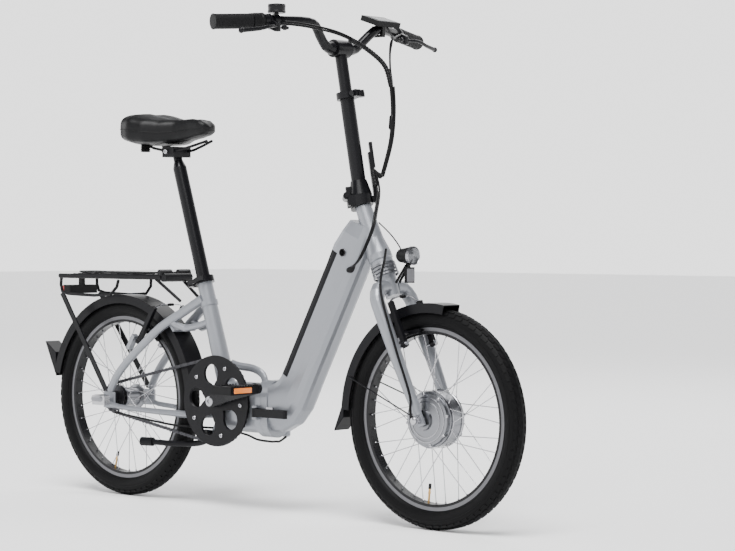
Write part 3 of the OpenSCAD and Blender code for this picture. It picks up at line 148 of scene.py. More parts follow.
NODE_MATERIALS = {
    "seat_tube": PAINT, "rear_fold_half": PAINT, "rear_stays": PAINT, "front_frame": PAINT, "fork": PAINT,
    "fold_pin": STEEL, "rear_axle": STEEL, "rack": BLACK_SATIN, "tail_light": PLASTIC,
    "rear_mudguard": GUARD, "front_mudguard": GUARD, "seat_clamp": BLACK, "seat_lever": BLACK,
    "chain": DARK_STEEL, "rear_cables": CABLE, "frame_cables": CABLE, "fork_cables": CABLE,
    "bar_cables": CABLE, "kickstand": BLACK_SATIN, "seatpost": BLACK, "saddle_rails": BLACK_SATIN,
    "saddle": SADDLE, "fold_lever": BLACK_SATIN, "fold_latch": ALLOY, "battery": BLACK_SATIN,
    "battery_lock": ALLOY, "post_base": BLACK, "front_axle": STEEL, "headlight": PLASTIC,
    "post_lever": BLACK_SATIN, "lower_post": BLACK, "clamp_lever": BLACK, "upper_post": BLACK,
    "handlebar": BLACK, "grips": RUBBER, "display": PLASTIC, "bell": BLACK, "bell_striker": BLACK,
    "twist_shifter": PLASTIC, "right_brake_lever": BLACK, "left_brake_lever": BLACK, "front_tyre": TYRE,
    "rear_tyre": TYRE, "front_rim": RIM, "rear_rim": RIM, "front_spokes": STEEL, "rear_spokes": STEEL,
    "motor": ALLOY_SATIN, "rear_hub": ALLOY_SATIN, "cranks": BLACK, "chainring": BLACK_SATIN,
    "sprocket": DARK_STEEL, "right_pedal_block": PLASTIC, "left_pedal_block": PLASTIC,
    "right_pedal": PLASTIC, "left_pedal": PLASTIC, "front_brake_right": BLACK_SATIN,
    "front_brake_left": BLACK_SATIN, "rear_brake_right": BLACK_SATIN, "rear_brake_left": BLACK_SATIN,
}
for name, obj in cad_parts.items():
    obj.data.materials.clear()
    obj.data.materials.append(NODE_MATERIALS[name])


# ---------- mesh helpers ----------
def smooth(obj, angle=35):
    """Shades smooth, with edges sharper than the angle kept."""
    me = obj.data
    me.polygons.foreach_set("use_smooth", [True] * len(me.polygons))
    if hasattr(me, "set_sharp_from_angle"):
        me.set_sharp_from_angle(angle=math.radians(angle))


def mesh(name, verts, faces, mat, body=None, shade=True):
    me = bpy.data.meshes.new(name)
    me.from_pydata([tuple(v) for v in verts], [], faces)
    me.materials.append(mat)
    me.update()
    o = bpy.data.objects.new(name, me)
    scene.collection.objects.link(o)
    if shade:
        smooth(o)
    if body:
        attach(o, body)
    return o


def basis(t, ref=(0.0, 0.0, 1.0)):
    t = Vector(t).normalized()
    u = Vector(ref).cross(t)
    if u.length < 1e-4:
        u = Vector((1, 0, 0)).cross(t)
    u.normalize()
    return u, t.cross(u), t


def lathe(name, origin, axis, profile, mat, body, n=48, ref=(0.0, 0.0, 1.0), closed=False):
    """A round piece: profile is a list of (distance along the axis, radius)."""
    u, v, t = basis(axis, ref)
    o = Vector(origin)
    verts, faces = [], []
    for d, r in profile:
        for k in range(n):
            a = 2 * math.pi * k / n
            verts.append(o + t * d + u * (r * math.cos(a)) + v * (r * math.sin(a)))
    m = len(profile)
    for i in range(m - 1 + (1 if closed else 0)):
        for k in range(n):
            a, b = i * n + k, i * n + (k + 1) % n
            c, d = ((i + 1) % m) * n + (k + 1) % n, ((i + 1) % m) * n + k
            faces.append((a, b, c, d))
    if not closed:
        faces.append(tuple(range(n - 1, -1, -1)))
        faces.append(tuple((m - 1) * n + k for k in range(n)))
    return mesh(name, verts, faces, mat, body)


def tube(name, points, radius, mat, body, n=12, steps=6, capped=True):
    """A smooth tube through points; radius is one number or one for each point."""
    p = [Vector(q) for q in points]
    rr = list(radius) if isinstance(radius, (list, tuple)) else [radius] * len(p)
    path, rad = [], []
    for i in range(len(p) - 1):
        for j in range(steps):
            f = j / steps
            path.append(catmull(p, i, f))
            rad.append(rr[i] + (rr[i + 1] - rr[i]) * f)
    path.append(p[-1])
    rad.append(rr[-1])
    verts, faces = [], []
    u = None
    for i, q in enumerate(path):
        t = (path[min(i + 1, len(path) - 1)] - path[max(i - 1, 0)]).normalized()
        if u is None:
            u = t.orthogonal().normalized()
        u = (u - t * u.dot(t)).normalized()
        w = t.cross(u)
        for k in range(n):
            a = 2 * math.pi * k / n
            verts.append(q + u * (rad[i] * math.cos(a)) + w * (rad[i] * math.sin(a)))
    for i in range(len(path) - 1):
        for k in range(n):
            faces.append((i * n + k, i * n + (k + 1) % n, (i + 1) * n + (k + 1) % n, (i + 1) * n + k))
    if capped:
        faces.append(tuple(range(n - 1, -1, -1)))
        faces.append(tuple((len(path) - 1) * n + k for k in range(n)))
    return mesh(name, verts, faces, mat, body)


def block(name, center, size, mat, body, axes=None, bevel=0.0015):
    """A box with rounded edges; axes are its own x, y and z directions."""
    ax = [Vector(a).normalized() for a in (axes or ((1, 0, 0), (0, 1, 0), (0, 0, 1)))]
    c = Vector(center)
    verts = []
    for sx in (-1, 1):
        for sy in (-1, 1):
            for sz in (-1, 1):
                verts.append(
                    c + ax[0] * (
                        sx * size[0] / 2
                    ) + ax[1] * (sy * size[1] / 2) + ax[2] * (sz * size[2] / 2)
                )
    faces = [(0, 1, 3, 2), (4, 6, 7, 5), (0, 4, 5, 1), (2, 3, 7, 6), (0, 2, 6, 4), (1, 5, 7, 3)]
    o = mesh(name, verts, faces, mat, None, shade=False)
    mod = o.modifiers.new("bevel", "BEVEL")
    mod.width = bevel
    mod.segments = 2
    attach(o, body)
    return o


def bolt(name, at, axis, r, h, mat, body):
    """A socket-head bolt: a round head with a chamfer and a round socket."""
    profile = [(0, r), (h * 0.8, r), (h, r * 0.85), (h, r * 0.5), (h * 0.5, r * 0.5)]
    return lathe(name, at, axis, profile, mat, body, n=24)


def side_name(s):
    """The rider's left is +Y."""
    return "l" if s > 0 else "r"


def catmull(p, i, f):
    """A point on the smooth curve through p, the share f of the way from point i to the next."""
    a, b, c, d = p[max(i - 1, 0)], p[i], p[i + 1], p[min(i + 2, len(p) - 1)]
    return 0.5 * (2 * b + (c - a) * f + (2 * a - 5 * b + 4 * c - d) * f * f
                  + (3 * b - a - 3 * c + d) * f ** 3)


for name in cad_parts:
    smooth(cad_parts[name], 32)

# Bevels soften the hard edges of the machined pieces
for name in (
    "fold_lever", "fold_latch", "post_base", "post_lever", "seat_clamp", "clamp_lever", "seat_lever",
    "right_pedal_block", "left_pedal_block", "display"
):
    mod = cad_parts[name].modifiers.new("bevel", "BEVEL")
    mod.width = 0.0008
    mod.segments = 2
    mod.limit_method = "ANGLE"

# ---------- stage ----------
floor = mesh(
    "floor", [(-30, -30, -0.0012), (30, -30, -0.0012), (30, 30, -0.0012), (-30, 30, -0.0012)],
    [(0, 1, 2, 3)], material("floor", (0.95, 0.95, 0.95), 0.9), None
)
world = bpy.data.worlds.new("world")
scene.world = world
world.use_nodes = True
wt = world.node_tree
coord = wt.nodes.new("ShaderNodeTexCoord")
split = wt.nodes.new("ShaderNodeSeparateXYZ")
ramp = wt.nodes.new("ShaderNodeValToRGB")
wt.links.new(coord.outputs["Generated"], split.inputs["Vector"])
wt.links.new(split.outputs["Z"], ramp.inputs["Fac"])
wt.links.new(ramp.outputs["Color"], wt.nodes["Background"].inputs["Color"])
ramp.color_ramp.elements[0].position = 0.16
ramp.color_ramp.elements[0].color = (1, 1, 1, 1)
ramp.color_ramp.elements[1].position = 0.42
ramp.color_ramp.elements[1].color = (0.10, 0.10, 0.105, 1)
wt.nodes["Background"].inputs["Strength"].default_value = 2.2


def lamp(name, at, to, size, power):
    d = bpy.data.lights.new(name, "AREA")
    d.energy = power
    d.shape = "RECTANGLE"
    d.size, d.size_y = size
    o = bpy.data.objects.new(name, d)
    scene.collection.objects.link(o)
    o.location = at
    o.rotation_euler = (Vector(to) - Vector(at)).to_track_quat("-Z", "Y").to_euler()
    return o


sun = bpy.data.lights.new("sun", "SUN")
sun.energy = 4.6
sun.angle = math.radians(38)
sun_obj = bpy.data.objects.new("sun", sun)
scene.collection.objects.link(sun_obj)
sun_obj.rotation_euler = (math.radians(20), math.radians(12), 0)
lamp("key", (1.6, -3.0, 4.0), (0, 0, 0.4), (3.0, 3.0), 130)
lamp("fill", (-4.2, -2.0, 2.6), (0, 0, 0.5), (2.4, 2.4), 50)
lamp("rim", (-1.0, 3.6, 4.2), (0, 0, 0.3), (4.0, 3.0), 120)

# ---------- wheels ----------
HUBS = {"front": Vector((WHEELBASE - OX, 0, AXLE_Z)), "rear": Vector((-OX, 0, AXLE_Z))}
SPOKES = 36
TREAD_ROWS = ((-52, 0.0), (-26, 0.5), (0, 0.0), (26, 0.5), (52, 0.0))
TREAD_COUNT = 72
TYRE_MID = 0.2265
TYRE_ROUND = 0.0238


def tread(end, hub, body):
    """Tread blocks over the tyre's crown and shoulders."""
    verts, faces = [], []
    for tilt, off in TREAD_ROWS:
        ta = math.radians(tilt)
        for i in range(TREAD_COUNT):
            a = 2 * math.pi * (i + off) / TREAD_COUNT
            base = len(verts)
            for rr in (TYRE_ROUND - 0.0012, TYRE_ROUND + (0.0009 if tilt == 0 else 0.0016)):
                for da, dt in ((-0.36, -9), (0.36, -6), (0.36, 9), (-0.36, 6)):
                    aa = a + da * 2 * math.pi / TREAD_COUNT
                    tt = ta + math.radians(dt)
                    out = min(TYRE_MID + rr * math.cos(tt), 0.2499 if rr < TYRE_ROUND else 0.2504)
                    verts.append(hub + Vector((out * math.sin(aa), rr * math.sin(tt), out * math.cos(aa))))
            faces += [(base + 4, base + 5, base + 6, base + 7), (base, base + 1, base + 5, base + 4),
                      (base + 1, base + 2, base + 6, base + 5), (base + 2, base + 3, base + 7, base + 6),
                      (base + 3, base, base + 4, base + 7)]
    mesh(end + "_tread", verts, faces, TYRE, body, shade=False)


def wheel_rings(end, hub, body):
    """Raised rings on the sidewalls, and the bright brake track of the rim."""
    for side in (-1, 1):
        for r, w in ((0.2135, 0.0006), (0.229, 0.0005)):
            y = side * math.sqrt(0.0235 ** 2 - (r - TYRE_MID) ** 2)
            ring = []
            for k in range(8):
                t = 2 * math.pi * k / 8
                ring.append((y + w * math.cos(t), r + w * math.sin(t)))
            name = f"{end}_sidewall_{side_name(side)}_{int(r * 1e4)}"
            lathe(name, hub, (0, 1, 0), ring, TYRE, body, n=96, closed=True)
        y0 = side * 0.01252
        prof = [(y0, 0.1985), (y0 + side * 0.0003, 0.1995), (y0 + side * 0.0003, 0.2075), (y0, 0.2085)]
        lathe(
            f"{end}_brake_track_{side_name(side)}", hub, (0, 1, 0), prof, RIM_FACE, body, n=96,
            closed=True
        )


def nipples(end, hub, body):
    for i in range(SPOKES):
        a = math.radians(360 / SPOKES * i)
        side = 1 if i % 2 == 0 else -1
        d = Vector((math.cos(a), 0, math.sin(a)))
        at = hub + d * 0.187 - Vector((0, side * 0.0033, 0))
        lathe(f"{end}_nipple_{i}", at, d, [(0, 0.0012), (0.001, 0.002), (0.0055, 0.002)], ALLOY, body, n=8)


def valve(end, hub, body):
    va = math.radians(186 if end == "front" else 195)
    d = Vector((math.sin(va), 0, math.cos(va)))
    stem = [
        (0, 0.0026), (0.008, 0.0026), (0.009, 0.0032), (0.013, 0.0032), (0.014, 0.0025), (0.034, 0.0025)
    ]
    lathe(end + "_valve", hub + d * 0.158, d, stem, BRASS, body, n=16)
    cap = [(0, 0.0024), (0.001, 0.0034), (0.012, 0.0036)]
    lathe(end + "_valve_cap", hub + d * 0.148, d, cap, PLASTIC, body, n=16)


for end, hub in HUBS.items():
    for piece in (tread, wheel_rings, nipples, valve):
        piece(end, hub, end + "_wheel")

# ---------- places on the frame, as in the CAD ----------
rad = math.radians
# how far each tube leans back from upright, in degrees
STEER_LEAN, POST_LEAN, SEAT_LEAN = 24.3, 10.9, 17.5
# distances down from the head tube's top to the fork's crown and axle
CROWN, FORK_LEN = 0.215, 0.528
BAR_UP = 0.349
SADDLE_UP = 0.64


def lean_up(lean):
    """The direction of a tube that leans back by this angle."""
    return Vector((-math.sin(rad(lean)), 0, math.cos(rad(lean))))


STEER_UP = lean_up(STEER_LEAN)
STEER_OUT = Vector((math.cos(rad(STEER_LEAN)), 0, math.sin(rad(STEER_LEAN))))
HEAD = HUBS["front"] + STEER_UP * FORK_LEN - STEER_OUT * 0.004
POST_UP = lean_up(POST_LEAN)
FOOT = HEAD + STEER_UP * 0.03 + Vector((0.004, 0, 0))
BAR = FOOT + POST_UP * BAR_UP
CRANK = Vector((0.370 - OX, 0, 0.26))
SADDLE_AT = CRANK + lean_up(SEAT_LEAN) * SADDLE_UP
Y = Vector((0, 1, 0))


def steer(x, y, t):
    """A point x ahead of the steering axis, y to the left and t down from the head tube's top."""
    return HEAD + STEER_OUT * x + Y * y - STEER_UP * t


def flip(v, s):
    """The vector with its y multiplied by s, so that -1 mirrors it to the other side."""
    return Vector((v[0], v[1] * s, v[2]))


# ---------- saddle ----------
SADDLE_RINGS, SADDLE_ROUND = 40, 40
SADDLE_LEN = 0.25
SADDLE_HALF = 0.104
# share of the length from the back, share of the half width, underside, top
SADDLE_SHAPE = [
    (0.0, 0.50, 0.016, 0.058), (0.03, 0.74, 0.008, 0.069), (0.1, 0.93, 0.0, 0.075),
    (0.22, 1.0, -0.006, 0.075), (0.36, 0.90, -0.006, 0.067), (0.5, 0.62, -0.003, 0.060),
    (0.64, 0.37, 0.002, 0.058), (0.8, 0.29, 0.008, 0.060), (0.92, 0.26, 0.014, 0.056),
    (0.98, 0.20, 0.020, 0.048), (1.0, 0.09, 0.026, 0.040)
]


def shape_at(f):
    for a, b in zip(SADDLE_SHAPE, SADDLE_SHAPE[1:]):
        if f <= b[0]:
            u = (f - a[0]) / (b[0] - a[0])
            u = u * u * (3 - 2 * u) * 0.5 + u * 0.5
            return [a[i] + (b[i] - a[i]) * u for i in range(4)]
    return SADDLE_SHAPE[-1]


back = SADDLE_AT.x - 0.127
base_z = SADDLE_AT.z + 0.024
verts, faces = [], []
rings, n = SADDLE_RINGS, SADDLE_ROUND
for i in range(rings + 1):
    f = i / rings
    _, w, lo, hi = shape_at(f)
    w *= SADDLE_HALF
    for k in range(n):
        a = 2 * math.pi * k / n
        ca, sa = math.cos(a), math.sin(a)
        y = w * math.copysign(abs(ca) ** 0.8, ca)
        dip = 0.004 * math.exp(-(y / 0.012) ** 2) * min(1, max(0, (f - 0.05) * 4)) if sa > 0 else 0
        z = (lo + hi) / 2 + (hi - lo) / 2 * math.copysign(abs(sa) ** (0.62 if sa > 0 else 0.4), sa) - dip
        verts.append(Vector((back + f * SADDLE_LEN, y, base_z + z)))
for i in range(rings):
    for k in range(n):
        faces.append((i * n + k, i * n + (k + 1) % n, (i + 1) * n + (k + 1) % n, (i + 1) * n + k))
faces.append(tuple(range(n - 1, -1, -1)))
faces.append(tuple(rings * n + k for k in range(n)))
saddle = mesh("saddle_pad", verts, faces, SADDLE, None)
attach(saddle, "seatpost")
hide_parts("saddle")
# seam round the saddle's edge
for side in (-1, 1):
    pts = []
    for i in range(2, rings - 1, 2):
        f = i / rings
        _, w, lo, hi = shape_at(f)
        y = side * (w * SADDLE_HALF + 0.0002)
        pts.append(Vector((back + f * SADDLE_LEN, y, base_z + (lo + hi) / 2 - 0.004)))
    tube("saddle_seam_" + side_name(side), pts, 0.0011, SADDLE, "seatpost", n=8, steps=3)
# ribbed elastomers under its back
for side in (-1, 1):
    at = Vector((SADDLE_AT.x - 0.075, side * 0.036, SADDLE_AT.z + 0.002))
    prof = [(0, 0.010)]
    for k in range(6):
        prof += [(0.003 + k * 0.004, 0.013), (0.005 + k * 0.004, 0.0105)]
    lathe("saddle_elastomer_" + side_name(side), at, (0, 0, 1), prof, RUBBER, "seatpost", n=24)
bolt("saddle_bolt", SADDLE_AT + Vector((-0.004, -0.03, 0.002)), (0, -1, 0), 0.006, 0.006, STEEL, "seatpost")

# ---------- chain ----------
RING_TEETH, COG_TEETH = 52, 18
CHAIN_Y = -0.045
span = CRANK - HUBS["rear"]
along = span.normalized()
upward = Vector((-along.z, 0, along.x))
pitch = 0.0127
r_ring = pitch / 2 / math.sin(math.pi / RING_TEETH)
r_cog = pitch / 2 / math.sin(math.pi / COG_TEETH)
wrap = math.asin((r_ring - r_cog) / span.length)
path = []
for i in range(61):
    a = math.pi / 2 + wrap + (math.pi - 2 * wrap) * i / 60
    path.append(HUBS["rear"] + along * (r_cog * math.cos(a)) + upward * (r_cog * math.sin(a)))
for i in range(121):
    a = -math.pi / 2 - wrap + (math.pi + 2 * wrap) * i / 120
    path.append(CRANK + along * (r_ring * math.cos(a)) + upward * (r_ring * math.sin(a)))
path.append(path[0])
dist = [0.0]
for a, b in zip(path, path[1:]):
    dist.append(dist[-1] + (b - a).length)
links = round(dist[-1] / pitch / 2) * 2


def on_chain(d):
    """The point of the chain's loop at the distance d along it."""
    d %= dist[-1]
    i = int(np.searchsorted(dist, d, side="right")) - 1
    i = min(i, len(path) - 2)
    return path[i].lerp(path[i + 1], (d - dist[i]) / max(1e-9, dist[i + 1] - dist[i]))


verts, faces = [], []


def plate(a, b, y, t, half, waist):
    """A link plate from a to b, with round ends and a waist."""
    d = (b - a).normalized()
    u = Vector((-d.z, 0, d.x))
    outline = []
    for c, s in ((b, 1), (a, -1)):
        for k in range(7):
            ang = rad(-90 + 30 * k)
            outline.append(c + d * (s * half * math.cos(ang)) + u * (s * half * math.sin(ang)))
        outline.append((a + b) / 2 + u * (s * waist))
    m = len(outline)
    base = len(verts)
    for yy in (y - t / 2, y + t / 2):
        for q in outline:
            verts.append(Vector((q.x, yy, q.z)))
    faces.append(tuple(base + k for k in range(m)))
    faces.append(tuple(base + m + k for k in range(m - 1, -1, -1)))
    for k in range(m):
        faces.append((base + k, base + m + k, base + m + (k + 1) % m, base + (k + 1) % m))


step = dist[-1] / links
for i in range(links):
    a, b = on_chain(i * step), on_chain((i + 1) * step)
    off = 0.0021 if i % 2 else 0.0030
    for s in (-1, 1):
        plate(a, b, CHAIN_Y + s * off, 0.0008, 0.0040, 0.0027)
    base = len(verts)
    for yy in (CHAIN_Y - 0.004, CHAIN_Y + 0.004):
        for k in range(8):
            ang = 2 * math.pi * k / 8
            verts.append(Vector((a.x + 0.0018 * math.cos(ang), yy, a.z + 0.0018 * math.sin(ang))))
    for k in range(8):
        faces.append((base + k, base + 8 + k, base + 8 + (k + 1) % 8, base + (k + 1) % 8))
    faces.append(tuple(base + k for k in range(7, -1, -1)))
    faces.append(tuple(base + 8 + k for k in range(8)))
chain = mesh("chain_links", verts, faces, DARK_STEEL, "rear_frame", shade=False)
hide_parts("chain")

# ---------- crank set, pedals ----------
CRANK_TURN = 13.5
CRANK_LEN = 0.17
CD = Vector((math.cos(rad(CRANK_TURN)), 0, math.sin(rad(CRANK_TURN))))
for s in (-1, 1):
    side = side_name(s)
    lathe(
        "crank_bolt_" + side, CRANK + Y * (s * 0.0708), (0, s, 0),
        [(0, 0.012), (0.002, 0.012), (0.0035, 0.0095), (0.0035, 0.005), (0.001, 0.005)], ALLOY, "cranks",
        n=32
    )
    mid = CRANK + CD * (CRANK_LEN * -s)
    lathe(
        "pedal_axle_end_" + side, mid + Y * (s * 0.0705), (0, -s, 0),
        [(-0.001, 0.0075), (0.0015, 0.0075), (0.0015, 0.004), (0, 0.004)], STEEL, "cranks", n=24
    )
    body = "right_pedal" if s < 0 else "left_pedal"
    for k in (-1, 1):
        y0 = s * (0.112 + 0.045)
        block(
            "pedal_reflector_" + side + ("f" if k > 0 else "b"), mid + Vector((k * 0.0345, y0, 0)),
            (0.0035, 0.058, 0.0125), AMBER, body, bevel=0.0012
        )
        for j in range(9):
            yy = s * (0.116 + 0.009 * j)
            block(
                f"pedal_tooth_{side}{'f' if k > 0 else 'b'}{j}", mid + Vector((k * 0.0305, yy, 0.0108)),
                (0.003, 0.003, 0.0026), PLASTIC, body, bevel=0.0005
            )
for i in range(5):
    a = rad(72 * i + 54 + CRANK_TURN)
    at = CRANK + Vector((math.cos(a), 0, math.sin(a))) * 0.086
    lathe(
        f"ring_bolt_{i}", at - Y * 0.0508, (0, -1, 0),
        [(0, 0.0052), (0.002, 0.0052), (0.003, 0.0042), (0.003, 0.0022), (0.001, 0.0022)], ALLOY,
        "cranks", n=20
    )

# ---------- motor and rear hub ----------
for s in (-1, 1):
    side = side_name(s)
    for r0, r1, y in ((0.040, 0.0425, 0.0350), (0.050, 0.0525, 0.0322), (0.0655, 0.0665, 0.0170)):
        prof = [
            (s * y, r0), (s * (y + 0.0016), r0 + 0.0004), (s * (y + 0.0016), r1 - 0.0004),
            (s * (y - 0.001), r1), (s * (y - 0.002), r0)
        ]
        lathe(
            f"motor_ring_{side}{int(r0 * 1e4)}", HUBS["front"], (0, 1, 0), prof, ALLOY, "front_wheel",
            n=96, closed=True
        )
    for i in range(8):
        a = rad(45 * i + 10)
        at = HUBS["front"] + Vector((math.cos(a), 0, math.sin(a))) * 0.0585 + Y * (s * 0.0300)
        lathe(
            f"motor_bolt_{side}{i}", at, (0, s, 0),
            [(0, 0.0034), (0.0022, 0.0034), (0.003, 0.0028), (0.003, 0.0014), (0.0012, 0.0014)], STEEL,
            "front_wheel", n=16
        )
    lathe(
        "front_axle_cap_" + side, HUBS["front"] + Y * (s * 0.0755), (0, s, 0),
        [(-0.002, 0.0083), (0.0, 0.0088), (0.004, 0.0088), (0.0065, 0.006), (0.0072, 0.001)], STEEL,
        "fork", n=24
    )
lathe(
    "selector_cover", HUBS["rear"] + Vector((-0.032, -0.093, -0.002)), (1, 0, 0.04),
    [
        (0, 0.001), (0.0012, 0.006), (0.004, 0.0088), (0.010, 0.0105), (0.030, 0.0112), (0.040, 0.0118),
        (0.046, 0.0105), (0.050, 0.006), (0.051, 0.001)
    ],
    ALLOY_SATIN, "rear_frame", n=40
)

# ---------- lamps and reflectors ----------
LIGHT = steer(0, 0, CROWN - 0.046) + Vector((0.062, 0, 0.042))
lathe(
    "headlight_bezel", LIGHT, (1, 0, 0),
    [
        (0.0165, 0.0205), (0.0165, 0.0218), (0.0235, 0.0218), (0.0245, 0.0205), (0.0225, 0.0190),
        (0.0190, 0.0190)
    ],
    ALLOY, "fork", n=64
)
prof = [(0.0205, 0.0192)]
for k in range(8):
    r = 0.0185 - 0.0022 * k
    prof += [(0.0238 + 0.0012 * math.sin(k * 0.4), r), (0.0232 + 0.0012 * math.sin(k * 0.4), r - 0.0012)]
lathe("headlight_lens", LIGHT, (1, 0, 0), prof, CLEAR, "fork", n=64)
lathe(
    "headlight_back", LIGHT, (-1, 0, 0),
    [(0.0165, 0.0145), (0.021, 0.012), (0.024, 0.006), (0.0245, 0.001)], ALLOY, "fork", n=48
)
block(
    "front_reflector", LIGHT + Vector((0.0142, 0, -0.044)), (0.0030, 0.026, 0.031), WHITE_REFLECTOR,
    "fork", bevel=0.002
)
lo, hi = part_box("tail_light")
block(
    "tail_lens", (lo[0] + 0.0045, 0, lo[2] + 0.011), (0.010, 0.0932, 0.0185), RED, "rear_frame",
    bevel=0.002
)

# ---------- rack ----------
DECK = 0.558
for s in (-1, 1):
    tube(
        "rack_spring_arm_" + side_name(s),
        [
            (-0.3185, s * 0.030, DECK + 0.012), (-0.40, s * 0.031, DECK + 0.010),
            (-0.50, s * 0.033, DECK + 0.010), (-0.60, s * 0.034, DECK + 0.010),
            (-0.64, s * 0.030, DECK + 0.011), (-0.652, s * 0.012, DECK + 0.011), (-0.653, 0, DECK + 0.011)
        ],
        0.0026, BLACK, "rear_frame", n=10
    )
    prof = []
    for k in range(15):
        prof += [(k * 0.0028, 0.0072), (k * 0.0028 + 0.0014, 0.0060)]
    lathe(
        "rack_spring_coil_" + side_name(s), (-0.3185, s * 0.012, DECK + 0.013), (0, s, 0), prof, BLACK,
        "rear_frame", n=20
    )

# ---------- bars: grips, bell, lever clamps ----------
PATH = [
    (0, 0, 0), (0, 0.03, 0), (0.002, 0.052, 0.004), (0.008, 0.078, 0.026), (0.015, 0.1, 0.046),
    (0.014, 0.124, 0.053), (0.003, 0.165, 0.053), (-0.014, 0.21, 0.051), (-0.064, 0.352, 0.042)
]


def bar_at(i, s):
    return BAR + Vector((PATH[i][0], s * PATH[i][1], PATH[i][2]))


GRIP_LEN = (bar_at(8, -1) - bar_at(7, -1)).length


def grip_at(d, s=-1):
    a, b = bar_at(7, s), bar_at(8, s)
    return a + (b - a).normalized() * d


for s, start in ((-1, GRIP_LEN - 0.096), (1, GRIP_LEN - 0.124)):
    side = side_name(s)
    g = (bar_at(8, s) - bar_at(7, s)).normalized()
    count = int((GRIP_LEN - start - 0.012) / 0.004)
    prof = [(0, 0.0165), (0.001, 0.0178), (0.005, 0.0178), (0.006, 0.0167)]
    for k in range(count):
        d = 0.008 + k * 0.004
        prof += [(d, 0.0167), (d + 0.0006, 0.01725), (d + 0.0026, 0.01725), (d + 0.0032, 0.0167)]
    end = GRIP_LEN - start
    prof += [(end - 0.003, 0.0167), (end - 0.002, 0.0182), (end, 0.0180), (end + 0.0004, 0.014)]
    lathe("grip_ribs_" + side, grip_at(start, s), g, prof, RUBBER, "upper_post", n=48)
g = (bar_at(8, -1) - bar_at(7, -1)).normalized()
end = GRIP_LEN - 0.097 - 0.026
prof = [(0.0, 0.0181), (0.001, 0.0188), (0.006, 0.0188), (0.007, 0.0181)]
for k in range(int((end - 0.012) / 0.003)):
    d = 0.009 + 0.003 * k
    prof += [(d, 0.0181), (d + 0.0005, 0.0186), (d + 0.0018, 0.0186), (d + 0.0023, 0.0181)]
lathe("shifter_ribs", grip_at(0.026), g, prof, PLASTIC, "twist_shifter", n=48)
for s in (-1, 1):
    side = side_name(s)
    bolt(
        "lever_clamp_bolt_" + side, grip_at(0.016, s) + Vector((0.010, 0, -0.0165)), (0, 0, -1), 0.004,
        0.004, STEEL, "upper_post"
    )
    pivot = grip_at(0.014, s) + Vector((0.030, s * -0.002, -0.016))
    bolt(
        "lever_pivot_screw_" + side, pivot + Vector((0, 0, 0.0093)), (0, 0, 1), 0.0045, 0.0018, STEEL,
        "upper_post"
    )
    lathe(
        "cable_adjuster_" + side, pivot + Vector((0.002, s * -0.012, 0)), (0.1, -s, 0),
        [(0, 0.0042), (0.004, 0.0042), (0.005, 0.0058), (0.011, 0.0058), (0.012, 0.004), (0.018, 0.0036)],
        BLACK, "upper_post", n=20
    )
BELL = grip_at(-0.006) + Vector((0.004, 0, 0.018))
lathe(
    "bell_dome", BELL + Vector((0, 0, 0.0155)), (0, 0, 1),
    [(-0.003, 0.0203), (0.0, 0.0206), (0.0015, 0.0195), (0.0040, 0.015), (0.0052, 0.008), (0.0054, 0.001)],
    BLACK, "upper_post", n=48
)
lathe(
    "bell_ring", BELL, (0, 0, 1),
    [(0, 0.0202), (0.0008, 0.0208), (0.0034, 0.0208), (0.0042, 0.0202)], BLACK, "upper_post", n=48
)
centre = BAR + Vector((0.026, 0.112, 0.071))
tilt = Matrix.Rotation(rad(18), 3, "Y")
block(
    "display_screen", centre + tilt @ Vector((0.004, 0, 0.0062)), (0.042, 0.064, 0.0012), SCREEN,
    "upper_post", axes=[tilt @ Vector((1, 0, 0)), Vector((0, 1, 0)), tilt @ Vector((0, 0, 1))],
    bevel=0.0004
)

# ---------- cables ----------
SPIRAL_STEPS = 24


def spiral(name, pts, r, mat, body, turns):
    """Spiral wrap: a tube whose radius ripples along its length."""
    p = [Vector(q) for q in pts]
    fine, radii = [], []
    for i in range(len(p) - 1):
        for j in range(SPIRAL_STEPS):
            fine.append(catmull(p, i, j / SPIRAL_STEPS))
    fine.append(p[-1])
    m = len(fine)
    for i in range(m):
        radii.append(r * (1 + 0.12 * math.sin(2 * math.pi * turns * i / (m - 1))))
    return tube(name, fine, radii, mat, body, n=12, steps=1)


def bar(x, y, z):
    return BAR + Vector((x, y, z))


upper = [
    grip_at(-0.004) + Vector((0.026, 0.008, -0.006)), bar(0.040, -0.150, 0.040),
    bar(0.052, -0.060, 0.028), bar(0.062, 0.020, 0.0), bar(0.096, 0.048, -0.040),
    bar(0.112, 0.054, -0.090)
]
lower = [
    bar(0.112, 0.054, -0.090), bar(0.120, 0.050, -0.150), bar(0.122, 0.040, -0.220),
    bar(0.108, 0.026, -0.300)
]
right_top = tube(
    "right_cables_upper", [v + Vector((0, 0, 0.003)) for v in upper], 0.0026, CABLE, None, n=10
)
right_top2 = tube(
    "right_cables_second", [v + Vector((0.003, 0, -0.003)) for v in upper], 0.0024, CABLE, None, n=10
)
wrap_top = spiral(
    "cable_wrap_upper", [upper[2].lerp(upper[3], 0.4), upper[3], upper[4], upper[5]], 0.0058, CABLE, None,
    26
)
left_top = tube(
    "left_cables_upper",
    [
        flip(grip_at(-0.004), -1) + Vector((0.026, -0.008, -0.006)), bar(0.044, 0.150, 0.036),
        bar(0.070, 0.100, 0.016), bar(0.098, 0.066, -0.040), bar(0.107, 0.063, -0.080),
        bar(0.112, 0.056, -0.090)
    ],
    0.0025, CABLE, None, n=10
)
display_top = tube(
    "display_cable",
    [
        bar(0.046, 0.112, 0.058), bar(0.066, 0.110, 0.030), bar(0.086, 0.080, -0.010),
        bar(0.104, 0.060, -0.060), bar(0.112, 0.055, -0.090)
    ],
    0.0022, CABLE, None, n=10
)
low_run = tube("cable_run_middle", lower, 0.0042, CABLE, None, n=12)
